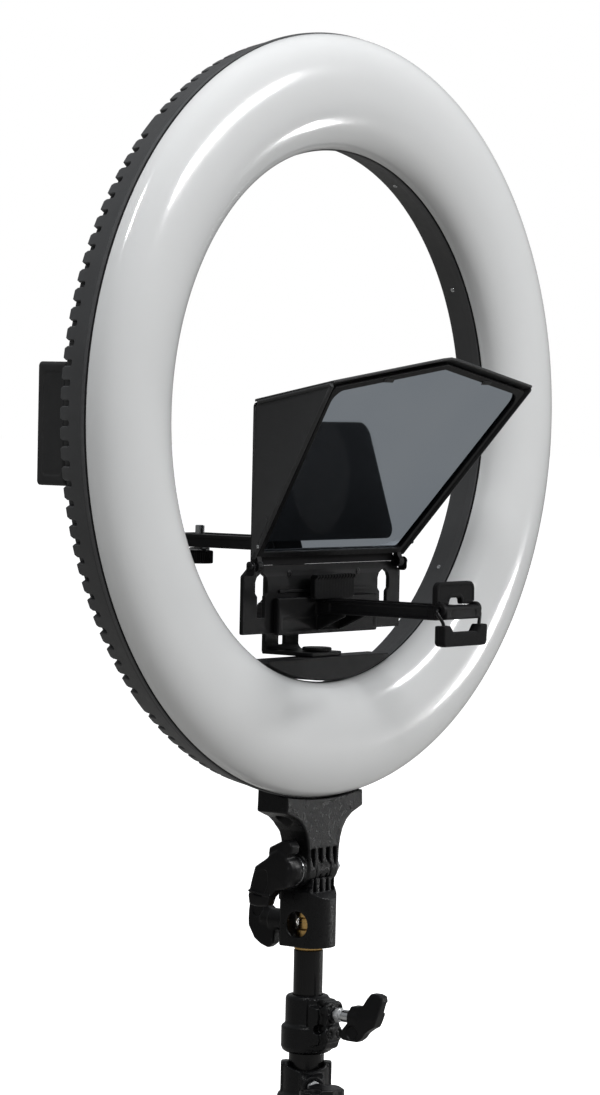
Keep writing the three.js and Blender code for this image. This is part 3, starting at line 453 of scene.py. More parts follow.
def lathe(name, profile, axis="Z", at=(0, 0, 0), segs=96):
    """Turned piece from (radius, height); it is solid if the profile starts and ends on the axis,
    otherwise a closed ring section."""
    solid = profile[0][0] == 0 and profile[-1][0] == 0
    verts, faces, rings = [], [], []
    for radius, height in profile:
        count = 1 if radius == 0 else segs
        rings.append(list(range(len(verts), len(verts) + count)))
        for k in range(count):
            angle = 2 * math.pi * k / segs
            verts.append((radius * math.cos(angle), radius * math.sin(angle), height))
    pairs = list(zip(rings, rings[1:])) + ([] if solid else [(rings[-1], rings[0])])
    for a, b in pairs:
        for k in range(segs):
            j = (k + 1) % segs
            if len(a) == 1 and len(b) == 1:
                continue
            if len(a) == 1:
                faces.append((a[0], b[k], b[j]))
            elif len(b) == 1:
                faces.append((a[k], b[0], a[j]))
            else:
                faces.append((a[k], b[k], b[j], a[j]))
    v = np.array(verts, float)
    if axis == "Y":
        v = np.stack([v[:, 0], v[:, 2], -v[:, 1]], 1)
    if axis == "X":
        v = np.stack([v[:, 2], v[:, 1], -v[:, 0]], 1)
    ob = raw(name, v + np.array(at, float), faces)
    clean(ob)
    return ob


def stud(radius, tip, end, chamfer, axis, at=(0, 0, 0)):
    """Pin with a chamfered tip."""
    profile = [(0, tip), (radius - chamfer, tip), (radius, tip + chamfer), (radius, end), (0, end)]
    return lathe("part", profile, axis, at, 32)


def sweep(name, points, radius, resolution):
    """Round rod along a path."""
    curve = bpy.data.curves.new(name, "CURVE")
    curve.dimensions = "3D"
    curve.bevel_depth = radius / 1000
    curve.bevel_resolution = resolution
    curve.use_fill_caps = True
    spline = curve.splines.new("POLY")
    places = row(points)
    spline.points.add(len(places) - 1)
    for k, v in enumerate(places):
        spline.points[k].co = (*v, 1)
    temporary = link(name + "_c", curve)
    graph = bpy.context.evaluated_depsgraph_get()
    mesh = bpy.data.meshes.new_from_object(temporary.evaluated_get(graph), depsgraph=graph)
    bpy.data.objects.remove(temporary)
    bpy.data.curves.remove(curve)
    ob = link(name, mesh)
    clean(ob, 1e-7)
    return ob


def smooth_path(points, steps):
    """Catmull-Rom points through a path."""
    p = np.array([points[0]] + list(points) + [points[-1]], float)
    out = []
    for i in range(1, len(p) - 2):
        a, b, c, d = p[i - 1], p[i], p[i + 1], p[i + 2]
        for k in range(steps):
            t = k / steps
            out.append(0.5 * ((2 * b) + (-a + c) * t + (2 * a - 5 * b + 4 * c - d) * t * t
                              + (-a + 3 * b - 3 * c + d) * t ** 3))
    out.append(p[-2])
    return np.array(out)


def radial_boxes(name, boxes, y_low, y_high):
    """Small boxes on XZ circles: (centre x, centre z, angle, corners as (radius, sideways))."""
    verts, faces = [], []
    for x, z, angle, corners in boxes:
        b = len(verts)
        cos, sin = math.cos(angle), math.sin(angle)
        for y in (y_low, y_high):
            verts += [(x + r * cos - u * sin, y, z + r * sin + u * cos) for r, u in corners]
        faces += [(b, b + 1, b + 2, b + 3), (b + 7, b + 6, b + 5, b + 4)]
        faces += [(b + j, b + 4 + j, b + 4 + (j + 1) % 4, b + (j + 1) % 4) for j in range(4)]
    ob = raw(name, verts, faces)
    clean(ob)
    return ob


def radial_prisms(angles, rings):
    """One prism at each angle round Y, through rings of (sideways, y, radius)."""
    verts, faces = [], []
    count = len(rings[0])
    for angle in angles:
        cos, sin = math.cos(angle), math.sin(angle)
        base = len(verts)
        verts += [(r * cos - u * sin, y, r * sin + u * cos) for ring in rings for u, y, r in ring]
        faces.append(tuple(base + j for j in range(count))[::-1])
        for low in range(base, base + (len(rings) - 1) * count, count):
            for j in range(count):
                k = (j + 1) % count
                faces.append((low + j, low + k, low + count + k, low + count + j))
        top = base + (len(rings) - 1) * count
        faces.append(tuple(top + j for j in range(count)))
    ob = raw("part", verts, faces)
    clean(ob)
    return ob


# ------------------------------------------------------------------ distance-field castings
def polygon_distance(points, x, y):
    """Signed distance to a polygon, negative inside; x and y broadcast together."""
    points = np.asarray(points, float)
    x, y = np.broadcast_arrays(x, y)
    squared = np.full(x.shape, 1e12)
    sign = np.ones(x.shape)
    for i in range(len(points)):
        a, b = points[i], points[i - 1]
        edge_x, edge_y = b[0] - a[0], b[1] - a[1]
        from_x, from_y = x - a[0], y - a[1]
        length = edge_x * edge_x + edge_y * edge_y
        t = np.clip((from_x * edge_x + from_y * edge_y) / (length if length > 0 else 1), 0, 1)
        squared = np.minimum(squared, (from_x - edge_x * t) ** 2 + (from_y - edge_y * t) ** 2)
        above, below, left = y >= a[1], y < b[1], edge_x * from_y > edge_y * from_x
        crossed = (above & below & left) | (~above & ~below & ~left)
        sign = np.where(crossed, -sign, sign)
    return (sign * np.sqrt(squared)).astype(np.float32)


def meet(a, b, edge=0.0):
    """Intersection of two fields with an edge radius."""
    a, b = a + edge, b + edge
    return np.minimum(np.maximum(a, b), 0) + np.hypot(np.maximum(a, 0), np.maximum(b, 0)) - edge


def soft_min(a, b, blend):
    """Union of two fields, blended where they are close."""
    h = np.maximum(blend - np.abs(a - b), 0) / blend
    return np.minimum(a, b) - h * h * blend * 0.25


class Casting:
    """Moulded shape: distance fields (mm, negative inside) blended on a grid, then meshed.

    Shapes with an axis are drawn in the plane of the other two, in the order x, y, z.
    """

    def __init__(self, x_span, y_span, z_span, step):
        self.step = step = step * 1.0
        spans = (x_span, y_span, z_span)
        self.low = np.array([low for low, high in spans], float) - 2.5 * step
        lines = []
        for i, (low, high) in enumerate(spans):
            count = int(math.ceil((high - low) / step)) + 6
            line = (self.low[i] + step * np.arange(count)).astype(np.float32)
            lines.append(line.reshape([-1 if j == i else 1 for j in range(3)]))
        self.x, self.y, self.z = lines
        self.line = dict(zip("XYZ", lines))
        self.field = None

    # shapes
    def plane(self, axis):
        return [self.line[other] for other in "XYZ" if other != axis]

    def radius(self, axis, u, v):
        across, up = self.plane(axis)
        return np.sqrt((across - u) ** 2 + (up - v) ** 2)

    def angle(self, axis, u, v):
        across, up = self.plane(axis)
        return np.arctan2(up - v, across - u)

    def disc(self, axis, u, v, radius):
        return self.radius(axis, u, v) - radius

    def outline(self, axis, points):
        return polygon_distance(points, *self.plane(axis))

    def turned(self, axis, u, v, profile):
        return polygon_distance(profile, self.radius(axis, u, v), self.line[axis])

    def along(self, axis, low, high):
        return np.abs(self.line[axis] - (low + high) / 2) - (high - low) / 2

    def rod(self, axis, u, v, radius, low, high, edge=0.0):
        return meet(self.disc(axis, u, v, radius), self.along(axis, low, high), edge)

    def plate(self, axis, points, low, high, edge=0.0):
        return meet(self.outline(axis, points), self.along(axis, low, high), edge)

    def box(self, x_span, y_span, z_span, edge):
        a, b, c = [np.abs(line - (low + high) / 2) - (high - low) / 2 + edge
                   for line, (low, high) in zip((self.x, self.y, self.z),
                                                (x_span, y_span, z_span))]
        outside = np.sqrt(np.maximum(a, 0) ** 2 + np.maximum(b, 0) ** 2 + np.maximum(c, 0) ** 2)
        return outside + np.minimum(np.maximum(np.maximum(a, b), c), 0) - edge

    # building
    def add(self, shape, blend=None):
        self.field = shape if self.field is None else soft_min(self.field, shape, blend)

    def cut(self, shape, blend):
        self.field = -soft_min(-self.field, shape, blend)

    def mesh(self, name, keep=0.42, turn=None):
        """Surface nets, smoothed and thinned to the fraction `keep`.

        With `turn` the mesh is turned that many degrees round Z and moved to the stand axis.
        """
        shape = (self.x.shape[0], self.y.shape[1], self.z.shape[2])
        field = np.broadcast_to(self.field, shape).astype(np.float32).copy()
        for axis in range(3):
            sides = np.moveaxis(field, axis, 0)
            sides[0] = sides[-1] = 9
        solid = field < 0
        corners = [(i, j, k) for i in (0, 1) for j in (0, 1) for k in (0, 1)]
        window = [slice(0, -1), slice(1, None)]
        filled = sum(solid.astype(np.uint8)[window[i], window[j], window[k]]
                     for i, j, k in corners)
        active = (filled > 0) & (filled < 8)
        cells = np.argwhere(active)
        lookup = np.full(active.shape, -1, np.int64)
        lookup[tuple(cells.T)] = np.arange(len(cells))
        # one vertex in each cell, at the mean of its edge crossings
        total = np.zeros((len(cells), 3))
        crossings = np.zeros(len(cells))
        for a in corners:
            for b in corners:
                if a < b and sum(abs(a[i] - b[i]) for i in range(3)) == 1:
                    at_a, at_b = field[tuple((cells + a).T)], field[tuple((cells + b).T)]
                    m = (at_a < 0) != (at_b < 0)
                    t = at_a[m] / (at_a[m] - at_b[m])
                    total[m] += np.array(a) + t[:, None] * (np.array(b) - np.array(a))
                    crossings[m] += 1
        verts = self.low + self.step * (cells + total / crossings[:, None])
        # one quad across each grid edge that leaves the solid
        quads = []
        for axis in range(3):
            near, far = [slice(1, -1)] * 3, [slice(1, -1)] * 3
            near[axis], far[axis] = window
            inside = solid[tuple(near)]
            edges = np.argwhere(inside != solid[tuple(far)])
            leaving = inside[tuple(edges.T)]
            edges = edges + np.array([0 if i == axis else 1 for i in range(3)])
            first, second = np.zeros(3, int), np.zeros(3, int)
            first[(axis + 1) % 3] = second[(axis + 2) % 3] = 1
            around = (edges - first - second, edges - second, edges, edges - first)
            quad = np.stack([lookup[tuple(cell.T)] for cell in around], 1)
            quad[~leaving] = quad[~leaving][:, ::-1]
            quads.append(quad)
        quads = np.concatenate(quads)
        if turn is not None:
            cos, sin = math.cos(math.radians(turn)), math.sin(math.radians(turn))
            x, y, z = verts.T
            verts = np.stack([x * cos - y * sin, x * sin + y * cos + STAND_Y, z], 1)
        mesh = bpy.data.meshes.new(name)
        mesh.vertices.add(len(verts))
        mesh.vertices.foreach_set("co", row(verts).astype(np.float32).ravel())
        mesh.loops.add(len(quads) * 4)
        mesh.loops.foreach_set("vertex_index", quads.astype(np.int32).ravel())
        mesh.polygons.add(len(quads))
        mesh.polygons.foreach_set("loop_start", (np.arange(len(quads)) * 4).astype(np.int32))
        mesh.polygons.foreach_set("loop_total", np.full(len(quads), 4, np.int32))
        mesh.update(calc_edges=True)
        mesh.validate()
        ob = link(name, mesh)
        relax = ob.modifiers.new("s", "SMOOTH")
        relax.factor = 0.5
        relax.iterations = 2
        ob.modifiers.new("d", "DECIMATE").ratio = keep
        bake(ob)
        return ob

    def make(self, name, key, body, node, keep=0.42, turn=None):
        finish(self.mesh(name, keep, turn), key, body, node, angle=None)


# ------------------------------------------------------------------ small fasteners
def cross_screw(at, normal, radius, height, spin):
    """Pan-head screw with a cross recess; `at` is the centre of the seat, normal points out."""
    crown = [(radius * math.cos(t), height * (0.25 + 0.75 * math.sin(t)))
             for t in np.linspace(0.15, 1.45, 7)]
    profile = [(0, -0.6), (radius, -0.6), (radius, height * 0.25)] + crown + [(0, height)]
    head = lathe("part", profile, segs=28)
    to_origin(head)
    length, width = radius * 0.62, radius * 0.13
    bars = []
    for angle in (0, math.pi / 2):
        outline = [(-length, -width), (length, -width), (length, width), (-length, width)]
        bar = slab("part", outline, height * 0.35, height * 2, XY, edge=0)
        to_origin(bar)
        bar.data.transform(Matrix.Rotation(angle + spin, 4, "Z"))
        bars.append(bar)
    boolean(head, bars)
    place(head, at, facing(Vector(normal).normalized()))
    return head


def knurled_screw(name, body, node, x, y, low, high, radius, stem, teeth, edge):
    """Thumbscrew about a vertical axis: a knurled head, and stem pieces (radius, low, high)."""
    reach = radius + 0.5
    head = Casting((x - radius - 0.5, x + reach), (y - radius - 0.5, y + reach), (low, high), 0.26)
    distance = head.radius("Z", x, y)
    knurl = radius - 0.28 + 0.26 * np.cos(head.angle("Z", x, y) * teeth)
    head.add(meet((distance - knurl) * 0.85, head.along("Z", low, high), edge))
    # ring groove in the top
    groove = np.abs(distance - radius * 0.55) - radius * 0.12
    head.cut(meet(groove, high - 0.35 - head.z, 0.1), 0.3)
    parts = [head.mesh("part", 0.5)]
    for size, start, end in stem:
        profile = [(0, start), (size - 0.4, start), (size, start + 0.4), (size, end - 0.4),
                   (size - 0.4, end), (0, end)]
        parts.append(lathe("part", profile, "Z", (x, y, 0), 32))
    finish(join(name, parts), ["satin"] + ["steel"] * len(stem), body, node, angle=45)


# ================================================================== RING LIGHT
HOUSING_BACK = 22.5               # y of the flat back of the ring
BOX_X, BOX_Y, BOX_Z = (-228.0, -168.0), (22.8, 45.7), (-42.8, 30.2)


def build_diffuser():
    middle, half_width, depth, power = 203.3, 35.9, 19.0, 2.2

    def bulge(width, height, t):
        """Point of the superellipse section as (radius, y)."""
        cos, sin = math.cos(t), math.sin(t)
        return (middle + width * math.copysign(abs(cos) ** (2 / power), cos),
                -height * abs(sin) ** (2 / power))

    angles = [math.pi * (0.5 - 0.5 * math.cos(math.pi * i / 56)) for i in range(57)]
    profile = [(238.2, -0.05), (238.2, -1.1)]
    for t in angles:
        radius, y = bulge(half_width, depth, t)
        profile.append((radius, min(y, -1.1)))
    profile += [(168.4, -1.1), (168.4, -0.05)]
    for t in angles[::-1][::3]:
        radius, y = bulge(half_width - 3.3, depth - 2.4, t)
        profile.append((radius, min(y, -0.05)))
    shell = lathe("ring_diffuser_shell", profile, "Y", segs=288)
    finish(shell, "opal", "ring", "ring_diffuser", angle=40)

    # dark ring in the groove between diffuser and housing, outside and inside: painted shade for
    # the dark gap line
    groove_shade_rings = [lathe("part", [(r, 0.25), (r, -0.9), (r + 1, -0.9), (r + 1, 0.25)], "Y", segs=288)
             for r in (238.2, 167.4)]
    finish(join("diffuser_groove_shade", groove_shade_rings), "rubber", "ring", angle=40)


def build_housing():
    """Rear housing, with a lip beside the diffuser and vent notches round the back edge."""
    def wall(y):
        """Radius of the tapering outer wall."""
        return 240 - 0.1836 * (y - 0.3)

    # (radius, y)
    outer = [(237.8, 0.3), (239.5, 0.3), (240.0, 0.7), (240.0, 2.1), (239.7, 2.45),
             (239.15, 2.6), (239.05, 2.95), (239.25, 3.3)]
    outer += [(wall(y), y) for y in (4.2, 8, 12, 16, 19.6)]
    outer += [(236.1, 21.0), (235.6, 21.8), (234.7, 22.35), (233.6, 22.5), (228, 22.5)]
    back = [(226.6, 22.5), (226.2, 22.1), (225.4, 22.1), (225.0, 22.5), (182.0, 22.5),
            (181.6, 22.1), (180.8, 22.1), (180.4, 22.5), (172.9, 22.5), (171.8, 22.1),
            (170.9, 21.0)]
    inner = [(170.2, 17), (169.0, 10.5), (168.3, 6.4), (168.05, 6.0), (167.6, 5.8),
             (167.4, 5.4), (166.75, 1.2), (166.7, 0.7), (167.1, 0.3), (168.8, 0.3)]
    inside = [(173.3, 20.1), (228.0, 20.1), (229.5, 18.5), (229.5, 12.6), (236.2, 10.6),
              (237.8, 0.9)]
    housing = lathe("ring_housing_shell", outer + back + inner + inside, "Y", segs=378)

    # each notch sits midway between two columns of the lathe; some places are left out
    angles = []
    for i in range(126):
        deg = (i + 0.5) * 360 / 126
        plain = min(abs((deg - s + 180) % 360 - 180) for s in (47.5, 132.5, 227.5, 312.5)) < 1.7
        if not plain and abs(deg - 270) >= 10:
            angles.append(math.radians(deg))
    half, flare = 1.7, 3.5
    # (sideways, y)
    notch = [(-half, 14.7), (-half * 0.72, 14.15), (-half * 0.3, 13.9), (half * 0.3, 13.9),
             (half * 0.72, 14.15), (half, 14.7), (half, 19.6), (flare, 22.6),
             (flare + 0.6, 23.6), (-flare - 0.6, 23.6), (-flare, 22.6), (-half, 19.6)]
    hole = [(-1.1, 14.6), (1.1, 14.6), (1.1, 17.2), (-1.1, 17.2)]
    notches = radial_prisms(angles, [[(u, y, 231.4) for u, y in notch],
                                     [(u, y, wall(y) - 0.55) for u, y in notch],
                                     [(u, y, wall(y) + 2.05) for u, y in inset(notch, -2.6)]])
    pits = radial_prisms(angles, [[(u, y, r) for u, y in hole] for r in (226.0, 234.0)])
    boolean(housing, [notches], solver="MANIFOLD")
    boolean(housing, [pits], solver="MANIFOLD")
    finish(housing, "charcoal", "ring", "ring_rear_housing", angle=28)


def build_housing_screws():
    screws = []
    for k in range(12):
        a = math.radians(15 + 30 * k)
        screws.append(cross_screw((203 * math.cos(a), HOUSING_BACK, 203 * math.sin(a)),
                                  (0, 1, 0), radius=2.6, height=0.9, spin=k * 0.7))
    # on the inner wall
    for deg in (-35.5, 30, 62, 118, 150, 215):
        a = math.radians(deg)
        screws.append(cross_screw((169.15 * math.cos(a), 11.5, 169.15 * math.sin(a)),
                                  (-math.cos(a), -0.12, -math.sin(a)),
                                  radius=1.5, height=0.6, spin=deg))
    # in the corners of the control box
    for k, (x, z) in enumerate(((-223.5, 26), (-172.5, 26), (-223.5, -38.5), (-172.5, -38.5))):
        screws.append(cross_screw((x, 45.1, z), (0, 1, 0), radius=1.7, height=0.6, spin=k))
    finish(join("housing_screws", screws), "steel", "ring", angle=35)


def build_shelf():
    """Block that fills the bottom of the ring opening."""
    half = 64.5
    end = math.atan2(-152.6, half)
    start = -math.pi - end
    outline = [(-half + 2, -151)] + arc(0, 0, 166.0, start, end - start, 60) + [(half - 2, -151)]
    shelf = slab("shelf_block", outline, -3, 14.5, XZ, edge=0.9, segments=4)
    finish(shelf, "powder", "ring", "inner_shelf", angle=40)


def build_diodes():
    """Two rings of diodes behind the diffuser."""
    boxes = []
    for k in range(96):
        for r, offset in ((190, 0), (218, 0.5)):
            corners = [(r - 1.75, -1.4), (r - 1.75, 1.4), (r + 1.75, 1.4), (r + 1.75, -1.4)]
            boxes.append((0, 0, 2 * math.pi * (k + offset) / 96, corners))
    diodes = radial_boxes("led_chips", boxes, 15.4, 16.35)
    bevel(diodes, 0.2, 1)
    finish(diodes, "amber", "ring", angle=30)


# ------------------------------------------------------------------ control box
CONTROL_X = (BOX_X[0] + BOX_X[1]) / 2
DIMMER_Z, COLOUR_Z, ROCKER_Z = 14.0, -10.0, -31


def build_control_cover():
    (left, right), (front, back), (bottom, top) = BOX_X, BOX_Y, BOX_Z
    cover = Casting(BOX_X, BOX_Y, BOX_Z, 0.55)
    cover.add(cover.box(BOX_X, (front, back + 4), BOX_Z, 2.6))
    cover.field = meet(cover.field, cover.y - back, 0.5)
    cover.cut(cover.box((left + 2.2, right - 2.2), (front + 2.4, back + 6),
                        (bottom + 2.2, top - 2.2), 1.2), 0.3)
    # shallow recess in each side wall
    recess = rounded(front + 4.2, back - 4.0, bottom + 6, top - 6, 3.0)
    cover.cut(cover.plate("X", recess, left - 2, left + 0.45), 0.35)
    cover.cut(cover.plate("X", recess, right - 0.45, right + 2), 0.35)
    # louvres top and bottom
    for k in range(9):
        x = left + 10 + 5 * k
        for z in BOX_Z:
            cover.cut(cover.box((x - 0.8, x + 0.8), (front + 5, back - 5),
                                (z - 0.9, z + 0.9), 0.5), 0.3)
    cover.make("control_box_cover", "shell", "ring", "control_box_shell", keep=0.35)


def build_control_plate():
    (left, right), (_, back), (bottom, top) = BOX_X, BOX_Y, BOX_Z
    x, z = CONTROL_X, ROCKER_Z
    holes = [circle(x, DIMMER_Z, 3.4, 32), circle(x, COLOUR_Z, 3.4, 32),
             rounded(x - 16.3, x - 3.7, z - 5.3, z + 5.3, 0.8), circle(x + 12, z, 4.6, 32)]
    outline = rounded(left + 2.5, right - 2.5, bottom + 2.5, top - 2.5, 1.5)
    plate = slab("control_plate", outline, back - 2.8, back - 0.6, XZ, holes=holes, edge=0.35)
    finish(plate, "shell", "ring", "control_panel")

    # scale marks round the two knobs; every fifth is long and broad
    boxes = []
    for z in (DIMMER_Z, COLOUR_Z):
        for k in range(11):
            reach, half = (11.3, 0.22) if k % 5 else (12.0, 0.4)
            corners = [(9.6, -half), (reach, -half), (reach, half), (9.6, half)]
            boxes.append((x, z, math.radians(90 - 140 + 28 * k), corners))
    marks = radial_boxes("scale_marks", boxes, back - 0.62, back - 0.55)
    finish(marks, "mark", "ring", angle=30)


def build_control_knob(node, body, z):
    x, face = CONTROL_X, BOX_Y[1]
    knob = Casting((x - 9, x + 9), (face - 2.4, face + 10.6), (z - 9, z + 9), 0.28)
    distance, angle = knob.radius("Y", x, z), knob.angle("Y", x, z)
    ribbed = 8.45 - 0.045 * (knob.y - face) + 0.22 * np.clip(np.cos(angle * 24) * 1.6, -1, 1)
    knob.add(meet((distance - ribbed) * 0.9, knob.along("Y", face + 0.4, face + 10.4), 0.9))
    knob.add(knob.rod("Y", x, z, 8.6, face + 0.4, face + 1.8, 0.3), 0.3)
    knob.field = np.minimum(knob.field, knob.rod("Y", x, z, 3.0, face - 2, face + 1.5, 0.2))
    # dished face and pointer groove
    knob.cut(knob.rod("Y", x, z, 6.4, face + 9.9, face + 12, 0.2), 0.3)
    knob.cut(knob.box((x - 0.55, x + 0.55), (face + 9.2, face + 12), (z + 1.5, z + 8.5), 0.2), 0.2)
    knob.make(node + "_cap", "abs", body, node, keep=0.5)


def build_rocker():
    x, face = CONTROL_X, BOX_Y[1]
    rocker = Casting((x - 16, x - 4), (face - 5.2, face + 1.6), (-36, -26), 0.28)
    # (y, z)
    profile = [(face - 3.4, -35.9), (face + 0.4, -35.9), (face + 1.5, -35.3),
               (face + 0.7, -33.2), (face + 0.2, -31), (face + 0.7, -28.8), (face + 1.5, -26.7),
               (face + 0.4, -26.1), (face - 3.4, -26.1), (face - 5.2, -31)]
    rocker.add(rocker.plate("X", profile, x - 16, x - 4, 0.5))
    # bar and ring marks
    rocker.cut(rocker.box((x - 10.4, x - 9.6), (face - 0.1, face + 3), (-29.6, -27.4), 0.2), 0.2)
    ring = np.abs(np.sqrt((rocker.x - x + 10) ** 2 + (rocker.z + 33.3) ** 2) - 1.1) - 0.3
    rocker.cut(meet(ring, rocker.along("Y", face + 0.25, face + 3), 0.1), 0.2)
    rocker.make("power_rocker_cap", "satin", "rocker", "power_rocker", keep=0.5)


def build_power_socket():
    face = BOX_Y[1]
    at = (CONTROL_X + 12, 0, ROCKER_Z)
    profile = [(2.6, face - 10), (4.3, face - 10), (4.3, face - 0.4), (6.2, face - 0.4),
               (6.2, face + 0.9), (2.6, face + 0.9)]
    jack = lathe("part", fillet(profile, [0.2, 0.2, 0, 0.1, 0.35, 0.3], 3), "Y", at, 64)
    pin = lathe("part", [(0, face - 10), (0.9, face - 10), (0.9, face - 1.5), (0.5, face - 0.9),
                         (0, face - 0.8)], "Y", at, 24)
    finish(join("dc_socket", [jack, pin]), ["abs", "steel"], "ring", "dc_jack")


# ================================================================== TILT HEAD
TILT_Z = -285.5                   # tilt axis, along X through the stand axis
CLAMP_Z = -320.7                  # cross hole of the socket and its clamp knob
BOLT_X, BOLT_Y = 27, 10           # shoulder bolts of the yoke


def build_yoke():
    # +X half of the front outline, (x, z)
    half = [(40.1, -247.6), (36, -249.2), (29, -251.8), (23.5, -255.6), (19.6, -260.6),
            (17.2, -266.4), (15.9, -273), (15.2, -285.5), (14.4, -290.5), (11.6, -295.6)]
    outline = arc(0, 0, 236.5, math.pi * 1.5 - 0.1675, 0.335, 30)
    outline += half + [(-x, z) for x, z in reversed(half)]
    yoke = Casting((-40.5, 40.5), (-2, 22.4), (-297, -231), 0.5)
    yoke.add(yoke.plate("Y", outline, -1.8, 22.0, 0.9))
    # side outline that bounds the casting, (y, z)
    bounds = [(-2.8, -200), (-2.8, TILT_Z)] + arc(STAND_Y, TILT_Z, 11, math.pi, math.pi, 24)
    bounds += [(20.2, TILT_Z), (20.2, -262), (22.2, -256), (22.2, -200)]
    yoke.cut(-yoke.outline("X", bounds), 0.8)
    # seat that follows the taper of the housing
    yoke.cut(yoke.radius("Y", 0, 0) - (240.75 - 0.1853 * np.clip(yoke.y - 0.3, 0, 22.6)), 0.3)
    for side in SIDES:
        # recessed flank below the shoulder, then a round ear cheek
        yoke.cut(yoke.rod("Y", side * 48, -279.0, 27.5, 1.6, 17.6, 2.0), 1.2)
        yoke.add(yoke.rod("X", STAND_Y, TILT_Z, 10.6, *sided(side, 7.6, 15.8), 0.8), 0.8)
        if side < 0:
            # raised boss under the lever
            yoke.add(yoke.rod("X", STAND_Y, TILT_Z, 9.9, -19.8, -12, 0.7), 0.7)
    # gap for the tongue, and the bore
    gap = arc(STAND_Y, TILT_Z, 11.5, 0, math.pi, 20)
    gap += [(STAND_Y - 11.5, -305), (STAND_Y + 11.5, -305)]
    yoke.cut(yoke.plate("X", gap, -7.6, 7.6, 0.2), 0.4)
    yoke.cut(yoke.rod("X", STAND_Y, TILT_Z, 4.3, -30, 30), 0.3)
    # tapering slots in the front face
    for left, right in ((-14.0, -9.6), (-6.4, -2.0), (1.4, 5.6), (8.9, 12.5)):
        slot = [(left, -272.0), (right, -272.0), (right, -280.5), (right - 0.5, -283.6),
                (right - 1.1, -283.2), (left + 0.3, -277)]
        yoke.cut(yoke.plate("Y", slot, -4, 0.9, 0.2), 0.6)
    for x in (-BOLT_X, BOLT_X):
        yoke.cut(yoke.rod("Z", x, BOLT_Y, 5.2, -270, -245.5, 0.3), 0.5)
        yoke.cut(yoke.rod("Z", x, BOLT_Y, 2.9, -262, -230), 0.2)
    yoke.make("yoke_casting", "cast", "ring", "head_yoke")


def build_shoulder_bolts():
    profile = fillet([(0, -250.6), (4.4, -250.6), (4.4, -246.2), (2.4, -246.2), (2.4, -238.4),
                      (0, -238.4)], [0, 0.5, 0.1, 0.2, 0.4, 0], 3)
    for side, label in SIDE_NAMES:
        x = side * BOLT_X
        bolt = lathe(f"shoulder_bolt_{label}", profile, "Z", (x, BOLT_Y, 0), 40)
        boolean(bolt, [slab("part", circle(x, BOLT_Y, 2.3, 6), -253, -248.2, XY, edge=0)])
        finish(bolt, "steel", "ring", f"yoke_bolt_{label}")


def build_socket():
    socket = Casting((-14.4, 14.4), (-8.2, 24.8), (-335.3, -274.2), 0.42)
    corner = math.acos(13.5 / 17)
    body = arc(0, STAND_Y, 17, math.pi + corner, math.pi - 2 * corner, 30)
    body += [(13.5, 22), (11, 24.5), (-11, 24.5), (-13.5, 22)]
    socket.add(socket.plate("Z", body, -335.1, -299.0, 0.5))
    # slope across the front of the round body
    slope = [(-30, -318.4), (-12, -306.6), (-1.6, -299.8), (-1.6, -280), (-30, -280)]
    socket.cut(socket.outline("X", slope), 0.35)
    socket.add(socket.box((-13, 13), (-1.6, 24.5), (-306, -297.2), 1.0), 0.6)
    # tongue that turns between the yoke cheeks
    tongue = arc(STAND_Y, TILT_Z, 10.8, -0.6, math.pi + 1.2, 40)
    tongue += [(STAND_Y - 10.8, -297.2), (STAND_Y - 10.8, -303), (STAND_Y + 10.8, -303),
               (STAND_Y + 10.8, -297.2)]
    socket.add(socket.plate("X", tongue, -7.0, 7.0, 0.4), 0.7)
    # horn along the top front edge, cut by upright slots
    horn = [(-1.6, -300.2), (-1.6, -290.6), (1.2, -293.5), (3.2, -295.1), (6.2, -296.4),
            (6.2, -300.2)]
    socket.add(socket.plate("X", horn, -11.7, 11.7, 0.4), 0.5)
    for x in (-9.0, -2.6, 3.8, 9.6):
        slot = [(x - 1.8, -299.6), (x + 1.7, -299.6), (x + 1.4, -295), (x + 1.0, -288.5),
                (x - 0.4, -288.5), (x - 1.4, -295)]
        socket.cut(socket.plate("Y", slot, -4, 1.1, 0.2), 0.5)
    # tilt bore, spigot bore and cross hole
    socket.cut(socket.rod("X", STAND_Y, TILT_Z, 4.3, -30, 30), 0.3)
    socket.cut(socket.rod("Z", 0, STAND_Y, 8.25, -345, -306), 0.4)
    socket.cut(socket.rod("X", STAND_Y, CLAMP_Z, 8.0, -30, 30), 0.9)
    # countersink round the cross hole
    for side in SIDES:
        depth = np.maximum(socket.x * side - 12.6, -9)
        cone = (socket.radius("X", STAND_Y, CLAMP_Z) - (8.0 + depth)) * 0.707
        socket.cut(np.maximum(cone, 12.3 - socket.x * side), 0.25)
    socket.cut(socket.rod("Y", 0, CLAMP_Z, 3.0, 12, 30), 0.2)
    socket.make("socket_casting", "cast", "socket", "socket_body")


def build_tilt_bolt():
    at = (0, STAND_Y, TILT_Z)
    head = slab("part", circle(STAND_Y, TILT_Z, 7.4, 6), 17.6, 22.4, YZ, edge=0.7)
    crown = lathe("part", [(0, 22.2), (3.6, 22.2), (3.2, 22.9), (0, 23.1)], "X", at, 40)
    shank = lathe("part", [(0, -19.8), (3.4, -19.8), (3.9, -19.2), (3.9, 17.8), (0, 17.8)],
                  "X", at, 40)
    finish(join("tilt_bolt_turned", [head, shank, crown]), "steel", "tilt_lock", "tilt_bolt",
           angle=30)
    washer = lathe("tilt_washer_ring", rounded(4.6, 8.6, 16.2, 17.3, 0.25, 3), "X", at, 64)
    finish(washer, "steel", "ring", "tilt_washer")


